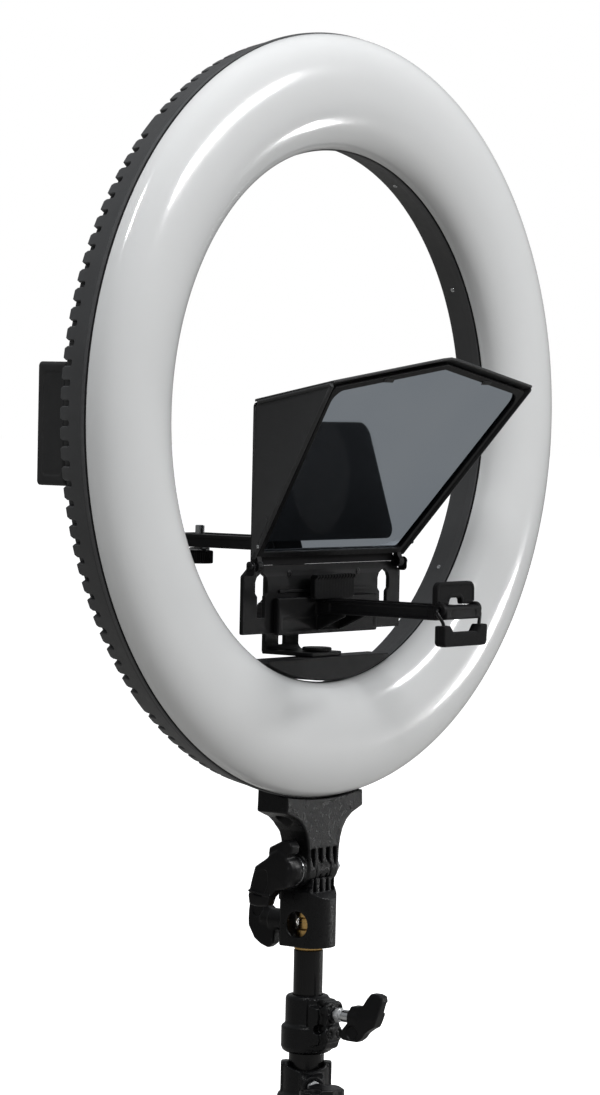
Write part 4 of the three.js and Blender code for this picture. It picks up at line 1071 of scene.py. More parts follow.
def build_tilt_lever():
    """Round hub with a ridge, and an arm that hooks behind the socket; outlines are (y, z)."""
    at = (0, STAND_Y, TILT_Z)
    lever = Casting((-34, -19.8), (-3, 36), (-310, -264.6), 0.42)
    lever.add(lever.turned("X", STAND_Y, TILT_Z, [
        (0, -30.6), (6.6, -30.6), (8.2, -29.4), (9.4, -26.4), (9.8, -23.6), (9.8, -20.3),
        (0, -20.3)]))
    # the arm bows outwards along its length, with a crown across its width
    arm = lever.outline("X", fillet([
        (3.0, -279.0), (5.6, -275.0), (11.5, -271.8), (16.4, -274.2), (20.6, -278.2),
        (29.2, -283.8), (31.6, -292), (34.2, -302.4), (33.2, -308.4), (27, -309.2),
        (19.2, -308.4), (17.4, -303), (12.5, -297.6), (4, -296)], 1.8))
    t = np.clip((lever.y - 9) / 22, 0, 1)
    middle = -27.0 - 1.6 * t
    half = 5.2 - 1.3 * t - 0.10 * np.clip(arm + 3, -3, 3)
    lever.add(meet(arm, np.abs(lever.x - middle) - half, 1.7), 2.4)
    # ridge bar over the hub
    ridge = fillet([(1.2, -273.5), (0.6, -269.2), (3.2, -266.0), (8.5, -265.9), (19.0, -271.0),
                    (19.6, -276), (8, -279)], [1.6, 1.8, 1.8, 1.8, 1.8, 1.2, 1.2])
    lever.add(lever.plate("X", ridge, -31.0, -22.0, 1.6), 1.4)
    # hollow on the outer face of the arm and a step across it
    hollow = fillet([(19, -284), (27.6, -288), (30.6, -301.6), (22, -302.4), (18.4, -294)], 2.5)
    lever.cut(meet(lever.outline("X", hollow), lever.x + 31.6, 0.3), 0.9)
    line = np.abs((lever.z + 300.4) - 0.16 * (lever.y - 25)) - 0.7
    within = np.maximum(arm + 0.3, lever.along("X", -33.4, -24))
    lever.add(meet(line, within, 0.5), 0.8)
    lever.add(lever.rod("X", STAND_Y, TILT_Z, 6.0, -31.0, -25, 0.8), 0.6)
    lever.make("tilt_lever_moulding", "satin", "tilt_lock", "tilt_lever")

    cap = lathe("lever_cap", [(0, -31.5), (4.2, -31.5), (4.7, -31.2), (4.8, -30.6), (0, -30.6)],
                "X", at, 48)
    finish(cap, "satin", "tilt_lock", angle=30)
    # bright rim between lever and yoke
    rim = lathe("lever_washer", rounded(4.4, 10.25, -20.28, -19.83, 0.12, 2), "X", at, 72)
    finish(rim, "steel", "ring")


def build_socket_knob():
    """Winged clamp knob behind the socket."""
    knob = Casting((-8, 8), (17.6, 56), (-340, -303), 0.4)
    knob.add(knob.rod("Y", 0, CLAMP_Z, 6.9, 24.9, 38, 1.0))
    # (y, z)
    outline = fillet([(33.6, -335.8), (38.0, -339.0), (44, -337.2), (49.4, -333.8),
                      (54.6, -326), (55.4, -316), (55.4, -309), (51, -304.0), (46.0, -305.6),
                      (43.2, -311.5), (37.5, -315.2), (33.6, -315.8)], 1.6)
    height = knob.z + 320.7
    half = 4.7 - 0.06 * np.abs(height)
    wing = meet(knob.outline("X", outline), np.abs(knob.x - 0.12 * height) - half, 1.5)
    # a hollow in each flank
    for y, z, beyond in ((47.5, -315.5, knob.x), (46.0, -328.5, -knob.x)):
        wing = -soft_min(-wing, meet(knob.disc("X", y, z, 4.2), beyond + 3.3, 0.3), 1.0)
    knob.add(wing, 1.8)
    knob.add(knob.rod("Y", 0, CLAMP_Z, 5.4, 30, 45, 1.6), 1.6)
    parts = [knob.mesh("part"), stud(2.7, 17.9, 30, 0.5, "Y", (0, 0, CLAMP_Z))]
    finish(join("socket_knob_set", parts), ["satin", "steel"], "socket_clamp", "socket_knob",
           angle=45)


# ================================================================== STAND
# Both collars are modelled with the clamp boss towards +X, then turned round the stand axis.
COLLAR_TURN = (-90, -129)
WING_Z = (-376.7, -422.4)         # clamp screw of each collar
BOSS_FACE = (22.4, 20.6)          # distance of each boss face from the stand axis
SEAM_TURN = -143.2                # heading of the seam and of the lower collar's lugs


def build_wing_knob(number, tip, lay):
    """Wing screw of a collar; tip is the inner end of its rod, lay its turn about the rod."""
    face, z_at, heading = BOSS_FACE[number], WING_Z[number], COLLAR_TURN[number]
    shift = face - BOSS_FACE[0]
    wing = Casting((27 + shift, 64.5 + shift), (-8.5, 8.5), (-16.6, 17.6), 0.42)
    # (x, z)
    outline = [(34.4, -3.6), (35.0, 3.4), (36.6, 7.3), (41.5, 7.4), (45.8, 8.8), (48.4, 13.4),
               (51.2, 16.6), (56, 16.6), (59.6, 15.4), (60.2, 12.0), (58.2, 4.0), (55.2, -4.2),
               (51.4, -6.4), (48.0, -9.0), (45.4, -12.6), (42, -15.0), (35.4, -15.0),
               (30.4, -14.5), (27.8, -11.6), (31.0, -7.2)]
    outline = fillet([(x + shift, z) for x, z in outline], 1.2, 4)
    # the blade leans a little, one arm to each side
    height = wing.z - 0.5
    lean = wing.y - 0.05 * height
    half = 4.7 - 0.085 * np.abs(height)
    wing.add(meet(wing.outline("Y", outline), (np.abs(lean) - half) * 0.97, 0.9))
    # hollow flanks of the two arms
    wing.cut(meet(wing.disc("Y", 55 + shift, 9.0, 5.0), -lean + 2.6, 0.3), 1.2)
    wing.cut(meet(wing.disc("Y", 38 + shift, -9.4, 4.2), lean + 2.6, 0.3), 1.2)
    wing.add(wing.rod("X", 0, 0, 5.0, face + 12.2, face + 19, 0.8), 1.6)
    collar = fillet([(0, face + 6.1), (3.9, face + 6.1), (3.9, face + 13.4), (0, face + 13.4)],
                    [0, 0.3, 0.1, 0], 3)
    parts = [wing.mesh("part"),
             slab("part", circle(0, 0, 4.9, 6), face + 1.2, face + 4.2, YZ, edge=0.45),
             stud(2.8, tip, face + 14, 0.5, "X"),
             lathe("part", collar, "X", segs=40)]
    knob = join(f"wing_screw_{number + 1}", parts)
    to_origin(knob)
    place(knob, (0, STAND_Y, z_at), Matrix.Rotation(math.radians(lay), 4, "X"),
          Matrix.Rotation(math.radians(heading), 4, "Z"))
    finish(knob, ["satin", "zinc", "zinc", "steel"], f"wing_{number + 1}",
           f"wing_knob_{number + 1}", angle=45)


def build_spigot():
    # (radius, z, corner radius)
    table = [(0, -306.6, 0), (6.4, -306.6, 0.4), (7.9, -308.0, 0.4), (7.9, -316.4, 0.3),
             (6.6, -317.6, 0.3), (6.6, -323.8, 0.3), (7.9, -325, 0.3), (7.9, -335.5, 0.1),
             (8.8, -335.6, 0.1), (9.1, -335.9, 0.2), (9.1, -336.9, 0.2), (8.8, -337.2, 0.1),
             (7.6, -337.2, 0), (7.6, -356, 0), (0, -356, 0)]
    profile = fillet([(r, z) for r, z, _ in table], [corner for _, _, corner in table], 3)
    spigot = lathe("spigot_turned", profile, "Z", (0, STAND_Y, 0), 96)
    finish(spigot, "brass", "stand_top", "brass_spigot")


def build_tubes():
    # name, node, body, outer radius, low and high ends
    tubes = (("upper_tube", "top_tube", "stand_top", 9.3, -510, -337.5),
             ("mid_tube", "middle_tube", "stand_middle", 11.25, -538, -402.8),
             ("base_tube", "lower_tube", "stand_lower", 13.6, -556, -447.4))
    for name, node, body, radius, low, high in tubes:
        bore = radius - 1.4
        profile = fillet([(radius, low), (radius, high), (bore, high), (bore, low)], 0.45, 4)
        finish(lathe(name, profile, "Z", (0, STAND_Y, 0), 128), "tube", body, node)
    profile = fillet([(0, -560), (14.6, -560), (14.6, -556.3), (12.0, -556.3), (12.0, -546),
                      (0, -546)], [0, 0.8, 0.5, 0.1, 0.6, 0], 4)
    plug = lathe("end_plug", profile, "Z", (0, STAND_Y, 0), 96)
    finish(plug, "rubber", "stand_lower", "tube_end_plug")


def build_upper_collar():
    top, bottom, step, screw = -366.0, -402.4, -385.6, WING_Z[0]
    collar = Casting((-17, 23.4), (-17, 17), (bottom, top), 0.42)
    # (radius, z)
    collar.add(collar.turned("Z", 0, 0, [
        (0, bottom), (13.6, bottom), (15.4, bottom + 1.2), (16.4, bottom + 3.4),
        (16.4, step - 0.9), (15.9, step), (14.4, step + 1.3), (14.0, step + 2.2),
        (14.0, top - 2.4), (13.3, top - 0.8), (11.8, top), (0, top)]))
    collar.add(collar.turned("Z", 0, 0, [(0, bottom), (13, bottom), (13, top - 0.5),
                                         (0, top - 0.5)]), 0.3)
    # clamp boss: upright block with rounded lower corner
    profile = fillet([(0, -367.6), (17.2, -367.6), (20.2, -370.4), (20.6, -379.0),
                      (19.8, -381.4), (20.8, -384.0), (21.2, -393), (19.4, -398.6),
                      (12, -401.4), (0, -401.4)], [0, 2, 2, 1.5, 1, 1.5, 4, 3, 2, 0], 4)
    wide = meet(collar.outline("Y", profile) + 4.0, collar.along("Y", -11.6, 11.6), 1.6)
    collar.add(soft_min(collar.plate("Y", profile, -7.6, 7.6, 1.3), wide, 1.5), 1.2)
    # stacked lobes across the front of the boss, each with a sunk screw at both sides
    for z in (-373.9, -389.2):
        across = np.abs(collar.y)
        lobe = np.sqrt((across - 3.6) ** 2 * (across > 3.6) + (collar.z - z) ** 2) - 5.4
        collar.add(meet(lobe, collar.along("X", 10, 21.8), 1.2), 0.7)
        for side in SIDES:
            collar.cut(collar.rod("X", side * 4.6, z, 2.7, 20.6, 30, 0.2), 0.5)
            collar.add(collar.rod("X", side * 4.6, z, 1.7, 18, 21.3, 0.4), 0.3)
    # screws in the flanks of the boss
    for z in (screw + 7.0, screw - 9.2):
        for side in SIDES:
            pocket = collar.disc("Y", 16.2, z, 2.9)
            collar.cut(meet(pocket, 5.9 - collar.y * side, 0.2), 0.8)
            head = collar.disc("Y", 16.2, z, 1.7)
            collar.add(meet(head, np.abs(collar.y * side - 5.2) - 1.2, 0.4), 0.3)
    collar.add(collar.rod("X", 0, screw, 5.6, 17, 22.4, 0.8), 0.8)
    # split line down the round side, and the bores
    angle = math.radians(SEAM_TURN + 90)
    cos, sin = math.cos(angle), math.sin(angle)
    outwards = collar.x * cos + collar.y * sin
    split = np.abs(-collar.x * sin + collar.y * cos) - 0.35
    collar.cut(meet(split, np.maximum(14.0 - outwards - 0.55, step + 1 - collar.z)), 0.3)
    collar.cut(collar.rod("Z", 0, 0, 9.65, -500, -300), 0.5)
    collar.cut(collar.rod("X", 0, screw, 3.2, 7, 40), 0.3)
    collar.make("collar_casting_1", "cast", "stand_middle", "collar_1", turn=COLLAR_TURN[0])


def build_lower_collar():
    top, bottom, screw = -408.6, -447.0, WING_Z[1]
    collar = Casting((-18.6, 21.4), (-18.6, 18.6), (bottom, top), 0.42)
    # (radius, z)
    collar.add(collar.turned("Z", 0, 0, [
        (0, bottom), (15.6, bottom), (17.4, bottom + 1.2), (18.2, bottom + 3.2),
        (18.2, -430.2), (17.6, -429), (16.1, -427.6), (15.7, -426.4), (15.7, top - 2.6),
        (15.0, top - 0.8), (13.4, top), (0, top)]))
    # the rim dips at two opposite places, with a raised lug on either side between them
    angle = math.radians(SEAM_TURN + 129)
    u = collar.x * math.cos(angle) + collar.y * math.sin(angle)
    v = -collar.x * math.sin(angle) + collar.y * math.cos(angle)
    for floor, ahead in ((-413.2 + 0.020 * v * v, u), (-412.4, -u)):
        within = np.maximum(np.abs(v) - 11.4, 3.0 - ahead)
        collar.cut(np.maximum(floor - collar.z, within), 1.6)
    for side in SIDES:
        lug = np.maximum(np.abs(v - side * 13.2) - 3.0, np.abs(u) - 5.4)
        lug = meet(lug, collar.along("Z", -446, top), 1.4)
        collar.add(np.maximum(lug, collar.disc("Z", 0, 0, 16.6)), 0.8)
    # clamp boss with a ring round the screw
    profile = fillet([(0, -414.4), (16.6, -414.4), (18.6, -417), (19.4, -422), (19.4, -436),
                      (17, -443), (0, -443)], [0, 3, 2, 2, 4, 3, 0], 4)
    collar.add(collar.plate("Y", profile, -7.8, 7.8, 1.6), 1.4)
    collar.add(collar.rod("X", 0, screw, 7.2, 14, 20.6, 0.9), 0.8)
    collar.cut(collar.rod("X", 0, screw, 5.4, 19.4, 30, 0.2), 0.4)
    collar.cut(collar.rod("Z", 0, 0, 11.6, -500, -300), 0.5)
    collar.cut(collar.rod("X", 0, screw, 3.2, 9, 40), 0.3)
    collar.make("collar_casting_2", "cast", "stand_lower", "collar_2", turn=COLLAR_TURN[1])


# ================================================================== CAMERA BRACKET
FOOT_Z = -151 + 0.3               # underside of the bracket foot
HEIGHT_KNOB_Z = -126.0
RAIL_Z = -77.2                    # top of the camera rail
CAMERA_SCREW_Y = 104


def build_bracket():
    leg = slab("part", rounded(-17.8, 17.8, FOOT_Z, -101.0, 2.2), 35.5, 38.2, XZ,
               holes=[rounded(-3.3, 3.3, -147.2, -104.5, 3.25)], edge=0.5)
    outline = fillet([(-17.8, -0.5), (17.8, -0.5), (17.8, 37.6), (-17.8, 37.6)],
                     [4, 4, 0.3, 0.3])
    foot = slab("part", outline, FOOT_Z, FOOT_Z + 2.5, XY, edge=0.5)
    # fillet inside the bend, (y, height above the underside)
    bend = [(35.7, 2.3), (32.8, 2.3), (33.6, 2.75), (34.6, 3.6), (35.3, 4.6), (35.7, 5.6)]
    inner = slab("part", [(y, FOOT_Z + z) for y, z in bend], -17.6, 17.6, YZ, edge=0)
    finish(join("l_bracket", [leg, foot, inner]), "powder", "ring", "angle_bracket")
    knurled_screw("shelf_thumb_screw", "shelf_screw", "shelf_thumbscrew", x=0, y=7.5,
                  low=FOOT_Z + 2.8, high=-145.4, radius=9.4,
                  stem=[(3.0, -163.6, FOOT_Z + 3.2)], teeth=42, edge=0.7)


def build_carrier():
    carrier = Casting((-12, 12), (27, 35.2), (-134, -85.7), 0.4)
    carrier.add(carrier.box((-12, 12), (27, 35.2), (-134, -85.7), 0.9))
    carrier.cut(carrier.box((-8.8, 8.8), (25, 28.0), (-118, -90.5), 0.8), 0.5)
    carrier.add(carrier.rod("Y", 0, HEIGHT_KNOB_Z, 6.2, 26.95, 30, 0.4), 0.4)
    carrier.cut(carrier.rod("Y", 0, HEIGHT_KNOB_Z, 3.1, 20, 40), 0.3)
    carrier.make("carrier_block", "powder", "prompter", "rail_carrier", keep=0.3)


def build_height_knob():
    """Scalloped knob behind the bracket."""
    z = HEIGHT_KNOB_Z
    knob = Casting((-10, 10), (38.2, 51.2), (z - 10, z + 10), 0.34)
    knob.add(knob.turned("Y", 0, z, [
        (0, 38.5), (7.2, 38.5), (7.5, 38.9), (9.4, 41.4), (9.7, 42.2), (9.7, 49.0),
        (9.2, 50.2), (8.0, 51.0), (0, 51.0)]))
    for i in range(6):
        a = i * math.pi / 3
        scallop = knob.disc("Y", 11.2 * math.cos(a), z + 11.2 * math.sin(a), 2.7)
        knob.cut(meet(scallop, 41.2 - knob.y, 0.6), 0.9)
    knob.cut(meet(knob.disc("Y", 0, z, 5.4), 50.2 - knob.y, 0.3), 0.4)
    parts = [knob.mesh("part", 0.45), stud(2.9, 26.4, 39, 0.4, "Y", (0, 0, z))]
    finish(join("height_knob_set", parts), ["satin", "steel"], "height_clamp", "height_knob",
           angle=45)


def build_rail():
    """Camera rail with a stepped slot."""
    outline = rounded(-18, 18, 6.2, 118, 2.6)
    rail = slab("r1", outline, RAIL_Z - 8.2, RAIL_Z - 2.4, XY,
                holes=[rounded(-3.4, 3.4, 43, 112, 3.35)], edge=0.6)
    upper = slab("part", outline, RAIL_Z - 2.4, RAIL_Z, XY,
                 holes=[rounded(-7.2, 7.2, 39.5, 115, 4.5)], edge=0)
    boolean(rail, [upper], operation="UNION")
    finish(rail, "powder", "prompter", "camera_rail")
    # rubber strips either side of the slot
    strips = [slab("part", rounded(*sided(side, 9, 16.4), 12, 114, 1.4),
                   RAIL_Z - 0.25, RAIL_Z - 0.02, XY, edge=0) for side in SIDES]
    finish(join("rail_grip_strips", strips), "rubber", "prompter")
    washer = lathe("carriage_washer", rounded(3.15, 6.8, RAIL_Z - 2.1, RAIL_Z - 0.6, 0.25, 3),
                   "Z", (0, CAMERA_SCREW_Y, 0), 64)
    finish(washer, "steel", "screw_carriage", "screw_washer")
    knurled_screw("camera_thumb_screw", "camera_screw", "camera_thumbscrew", x=0,
                  y=CAMERA_SCREW_Y, low=-96.6, high=-88.2, radius=9.0,
                  stem=[(6.6, -88.6, -86.4), (3.0, -88, RAIL_Z + 5.4)], teeth=40, edge=0.8)


# ================================================================== PROMPTER
MIRROR_TILT = math.atan2(113.5, 82.8)
MIRROR_Y, MIRROR_Z = -0.8, -90.7                          # lower rear edge of the mirror plane
HINGE_Y, HINGE_Z = MIRROR_Y + 0.2, MIRROR_Z - 1.6
LENS_Z = -38.0

# corners of the -X hood side; the +X side mirrors them
REAR_BOTTOM, FRONT_BOTTOM = np.array([-78.4, 0.4, -88.0]), np.array([-79.1, -1.5, -88.0])
FRONT_TOP, REAR_TOP = np.array([-107.1, -80.4, 20.2]), np.array([-78.4, 0.4, 7.9])
# hinge strap on the -X side, (x, y, z)
STRAP = [(-79.0, -1.2, -87.0), (-78.5, 0.1, -87.0), (-78.5, 0.1, -70.0), (-82.0, -9.8, -62.4),
         (-83.6, -14.3, -60.6), (-84.4, -16.6, -64.2), (-82.6, -11.2, -71.5)]
RIVET = (-80.9, -6.6, -79.9)


def on_mirror(u, v, w):
    """Mirror plane: u across, v up the slope, w along its normal, forward and down."""
    cos, sin = math.cos(MIRROR_TILT), math.sin(MIRROR_TILT)
    return np.stack([u, MIRROR_Y - cos * v - sin * w, MIRROR_Z + sin * v - cos * w], 1)


def plane_through(a, b, c):
    """Map from (u, v, w) on the plane through three points, and its inverse for (u, v)."""
    along = (b - a) / np.linalg.norm(b - a)
    normal = np.cross(b - a, c - a)
    normal /= np.linalg.norm(normal)
    up = np.cross(normal, along)

    def to_3d(u, v, w):
        return a + np.outer(u, along) + np.outer(v, up) + np.outer(w, normal)

    def to_plane(p):
        return float((p - a) @ along), float((p - a) @ up)
    return to_3d, to_plane


def build_keyhole_plate():
    def keyhole(x):
        half = [(3.8, -124.8), (3.8, -111.6), (6, -109.4), (6, -102.6), (4.6, -99.6)]
        points = [(x - half[0][0], half[0][1])] + [(x + u, z) for u, z in half]
        points += [(x, -96.8)] + [(x - u, z) for u, z in half[:0:-1]]
        return fillet(points, [0.6, 0.6, 1, 1, 1.5, 1.5, 1, 1.5, 1.5, 1, 1], 3)

    outline = fillet([(-82.3, -134.8), (82.3, -134.8), (82.3, -98.6), (74, -92.4),
                      (-74, -92.4), (-82.3, -98.6)], [1.2, 1.2, 1.5, 1.5, 1.5, 1.5], 4)
    plate = slab("part", outline, 3.2, 5.9, XZ, holes=[keyhole(-64), keyhole(64)], edge=0.45)
    tongue = slab("part", rounded(-12, 12, 5.4, 26.7, 0.8), -108, -104.8, XY)
    rib = slab("part", rounded(-47, 47, -109.6, -107.9, 0.7), 1.9, 3.4, XZ, edge=0.3)
    finish(join("keyhole_plate", [plate, tongue, rib]), "abs", "prompter", "prompter_base_plate")
    screws = [cross_screw((x, 3.2, -98), (0, -1, 0), radius=2.1, height=0.7, spin=x)
              for x in (-36, 36)]
    finish(join("plate_screws", screws), "satin", "prompter", angle=35)


def build_lens_panel():
    outline = fillet([(-74, -92.2), (74, -92.2), (74, 8.0), (0, 18.2), (-74, 8.0)],
                     [1, 1, 3, 3, 3])
    panel = slab("lp", outline, 3.2, 4.8, XZ, holes=[circle(0, LENS_Z, 39.6, 96)])
    finish(panel, "hood_in", "prompter", "lens_panel")
    # ring with a ridged bore, (radius, y, corner radius)
    table = [(36.2, 2.0, 0.3), (43.5, 2.0, 0.35), (43.5, 2.9, 0.3), (39.2, 2.9, 0.2),
             (39.2, 12.5, 0.4), (38.2, 12.5, 0.2), (38.2, 11.6, 0.2), (37.6, 11.2, 0),
             (38.0, 10.6, 0), (37.4, 10.2, 0), (37.8, 9.6, 0), (37.2, 9.2, 0), (37.6, 8.6, 0),
             (37.0, 8.2, 0), (36.2, 7.6, 0.2)]
    profile = fillet([(r, y) for r, y, _ in table], [corner for _, _, corner in table], 3)
    ring = lathe("adapter_ring", profile, "Y", (0, 0, LENS_Z), 144)
    finish(ring, "powder", "prompter", "lens_adapter_ring")


def build_hood_side(side, label):
    def flip(p):
        return np.array([p[0] * -side, p[1], p[2]])

    def line(start, end, steps):
        return [start + (end - start) * t for t in steps]

    corners = [flip(p) for p in (REAR_BOTTOM, FRONT_BOTTOM, FRONT_TOP, REAR_TOP)]
    to_3d, to_plane = plane_through(*corners[:3])
    outline = fillet([to_plane(p) for p in corners], [0.4, 0.4, 1.0, 4.0])
    # the plane normal points to -X on both sides, so the thickness goes inwards
    sheet = slab("part", outline, *sided(side, 0, 1.9), to_3d, edge=0.55, segments=4)
    # rolled fold along the top edge, where the side turns into the roof
    fold = sweep("part", line(flip(FRONT_TOP + np.array([0.55, 0.9, -0.2])),
                              flip(REAR_TOP + np.array([0.6, -0.3, 0.0])),
                              np.linspace(0.004, 0.96, 24)), 1.15, 5)
    # stiffening bead down the front edge
    rise, offset = FRONT_TOP - FRONT_BOTTOM, np.array([0.9, 1.0, 0.3])
    bead = sweep("part", line(flip(FRONT_BOTTOM + rise * 0.04 + offset),
                              flip(FRONT_BOTTOM + rise * 0.985 + offset),
                              np.linspace(0, 1, 12)), 0.95, 4)
    # return flange down the rear edge, turned in to the lens panel
    outline = [(78.3 * side, 0.3), (76.8 * side, -0.5), (73.4 * side, 3.1), (75.0 * side, 3.1)]
    flange = slab("part", outline, -84.5, 5.6, XY, edge=0.2)
    # hinge strap riveted along the bottom, on the outer face
    outline = fillet([to_plane(flip(p)) for p in STRAP], 1.2, 4)
    strap = slab("part", outline, *sided(-side, 0, 0.55), to_3d, edge=0.2)
    outwards = np.array([0.943 * side, 0.334, 0.0])
    rivet = lathe(f"strap_rivet_{label}",
                  [(0, 0.3), (0.7, 0.25), (1.1, 0.05), (1.2, -0.3), (0, -0.3)], segs=24)
    to_origin(rivet)
    place(rivet, flip(RIVET) + outwards * 0.5, facing(outwards))
    finish(rivet, "steel", "prompter")
    finish(join(f"hood_side_{label}", [sheet, fold, bead, flange, strap]), "hood", "prompter",
           f"hood_{label}")


def build_hood_roof():
    """Two flat leaves with a soft ridge."""
    across, deep = 28, 18
    ridge_front, ridge_rear = np.array([0, -92.0, 36.7]), np.array([0, 3.0, 18.6])

    def edge_point(ridge, x, y, z, out, rise):
        point = ridge + (np.array([x, y, z]) - ridge) * out
        point[2] = ridge[2] + (z - ridge[2]) * rise
        return point

    def roof_point(i, j):
        t = i / across
        side = -1 if t < 0.5 else 1
        out = abs(2 * t - 1)               # 1 at the side, 0 on the ridge
        rise = (math.sqrt(out * out + 0.0009) - 0.03) / (math.sqrt(1.0009) - 0.03)
        rise = min(1, rise) if out > 0 else 0
        front = edge_point(ridge_front, side * 106.2, -80.4, 20.7, out, rise)
        back = edge_point(ridge_rear, side * 75.0, 3.0, 8.4, out, rise)
        return front + (back - front) * (j / deep)

    verts, faces, top, bottom = [], [], {}, {}
    for i in range(across + 1):
        for j in range(deep + 1):
            point = roof_point(i, j)
            bottom[i, j] = len(verts)
            verts.append(point + np.array([0, 0, 0.15]))
            top[i, j] = len(verts)
            verts.append(point + np.array([0, 0, 1.85]))
    for i in range(across):
        for j in range(deep):
            faces.append((top[i, j], top[i + 1, j], top[i + 1, j + 1], top[i, j + 1]))
            faces.append((bottom[i, j], bottom[i, j + 1], bottom[i + 1, j + 1],
                          bottom[i + 1, j]))
    for i in range(across):
        faces.append((top[i, 0], bottom[i, 0], bottom[i + 1, 0], top[i + 1, 0]))
        faces.append((top[i, deep], top[i + 1, deep], bottom[i + 1, deep], bottom[i, deep]))
    for j in range(deep):
        faces.append((top[0, j], top[0, j + 1], bottom[0, j + 1], bottom[0, j]))
        faces.append((top[across, j], bottom[across, j], bottom[across, j + 1],
                      top[across, j + 1]))
    roof = raw("rf", verts, faces)
    clean(roof)
    bevel(roof, 0.6, 3, 50)
    finish(roof, "hood", "prompter", "hood_roof", angle=35)
    roof.name = "hood_top"


def build_mirror():
    """Flat bezel just behind the front edges of the hood, with the glass behind it."""
    outer = fillet([(-75.2, 3), (75.2, 3), (101.9, 133.4), (0, 152.6), (-101.9, 133.4)],
                   [1.5, 1.5, 2.5, 5, 2.5])
    inner = fillet([(-71.8, 7.2), (71.8, 7.2), (98, 130), (0, 148.8), (-98, 130)],
                   [3, 3, 8, 3, 8], 8)
    pane = fillet([(-73.6, 4.8), (73.6, 4.8), (100, 131.4), (0, 150.2), (-100, 131.4)],
                  [2, 2, 8, 2, 8], 8)
    parts = [slab("part", outer, -3.4, -1.8, on_mirror, holes=[inner])]
    # hinge lug and its web on each side, (y, z)
    web = fillet([(2.6, -91.0), (0.9, -86.6), (-1.0, -85.2), (-1.9, -86.5), (-3.4, -91.5)],
                 0.5, 3)
    for side in SIDES:
        parts.append(lathe("part", rounded(1.6, 3.6, *sided(side, 71.4, 76.4), 0.4, 3), "X",
                           (0, HINGE_Y, HINGE_Z), 48))
        parts.append(slab("part", web, *sided(side, 71.4, 76.0), YZ, edge=0.3))
    finish(join("mirror_bezel", parts), "abs", "mirror", "mirror_frame")
    glass = slab("beam_glass", pane, -4.9, -3.5, on_mirror, edge=0.12, segments=2)
    finish(glass, "glass", "mirror", "beam_splitter_glass", angle=8)


def build_glass_clip(side, label):
    x, v = 52 * side, 139.3
    base = slab("part", rounded(x - 5, x + 5, v - 0.9, v + 1.9, 0.8), -1.75, -1.35, on_mirror,
                edge=0.18)
    raised = slab("part", rounded(x - 3.0, x + 3.0, v - 0.1, v + 1.2, 0.5), -1.4, -1.1,
                  on_mirror, edge=0.12)
    finish(join(f"glass_clip_{label}_spring", [base, raised]), "satin", "mirror",
           f"glass_clip_{label}")


def build_hinge(side, label):
    """Pivot pin with a cross-slotted head, and the ear it turns in."""
    at = (0, HINGE_Y, HINGE_Z)
    low, high = sided(side, 74.4, 81.0)
    pin = lathe("part", [(0, low), (1.45, low), (1.45, high), (0, high)], "X", at, 32)
    # (radius, distance from the centre plane), from the outer face inwards
    profile = [(0, 82.1), (1.7, 82.1), (2.2, 81.8), (2.4, 81.3), (2.4, 80.5), (0, 80.5)]
    profile = [(radius, side * x) for radius, x in profile][::-side]   # heights must ascend
    head = lathe("part", profile, "X", at, 40)
    bars = []
    for angle in (0, math.pi / 2):
        cos, sin = math.cos(angle), math.sin(angle)
        corners = [(-1.9, -0.35), (1.9, -0.35), (1.9, 0.35), (-1.9, 0.35)]
        outline = [(HINGE_Y + u * cos - v * sin, HINGE_Z + u * sin + v * cos)
                   for u, v in corners]
        bars.append(slab("part", outline, *sided(side, 81.5, 83.1), YZ, edge=0))
    boolean(head, bars)
    finish(join(f"pivot_pin_{label}", [pin, head]), "satin", "mirror", f"hinge_pin_{label}")
    outline = fillet([(-3.6, -98.4), (2.9, -98.4), (2.9, -89.4), (-3.6, -89.4)],
                     [2.5, 0.3, 2, 2.5])
    ear = slab(f"pivot_ear_{label}", outline, *sided(side, 79.2, 80.4), YZ,
               holes=[circle(HINGE_Y, HINGE_Z, 1.75, 32)])
    finish(ear, "abs", "prompter", f"hinge_ear_{label}")


# ================================================================== PHONE ARM AND CLAMP
BAIL_Y, BAIL_Z = -100.0, -116.2   # axis of the bail, along X


def build_arm():
    arm = Casting((-52, 52), (-94, 3), (-136, -112.6), 0.62)
    arm.add(arm.box((-52, 52), (-1.4, 2.9), (-136, -112.6), 0.9))
    arm.add(arm.box((-14, 14), (-94, 1), (-123.2, -114.4), 0.9), 1.0)
    arm.cut(arm.box((-8.2, 8.2), (-97, -12), (-121.2, -116.6), 0.4), 0.3)
    arm.cut(arm.box((-3.2, 3.2), (-86, -20), (-118, -112), 0.4), 0.3)
    arm.cut(arm.box((-15, 15), (-8.4, -1.4), (-115.4, -112), 0.2), 0.3)
    # shallow field on the base, ribs under the beam and grooves along its flanks
    field = rounded(-48.5, 48.5, -133.2, -125.6, 1.6)
    arm.cut(arm.plate("Y", field, -3, -1.0, 0.2), 0.3)
    for side in SIDES:
        rib = fillet([(-1.4, -123.0), (-26, -123.0), (-1.4, -134.0)], 1.0, 3)
        arm.add(meet(arm.outline("X", rib), np.abs(arm.x - side * 11.2) - 1.3, 0.5), 0.8)
        arm.cut(arm.box(sided(side, 13.2, 15), (-88, -12), (-121.6, -116.4), 0.3), 0.4)
    arm.make("arm_moulding", "abs", "prompter", "phone_arm", keep=0.3)


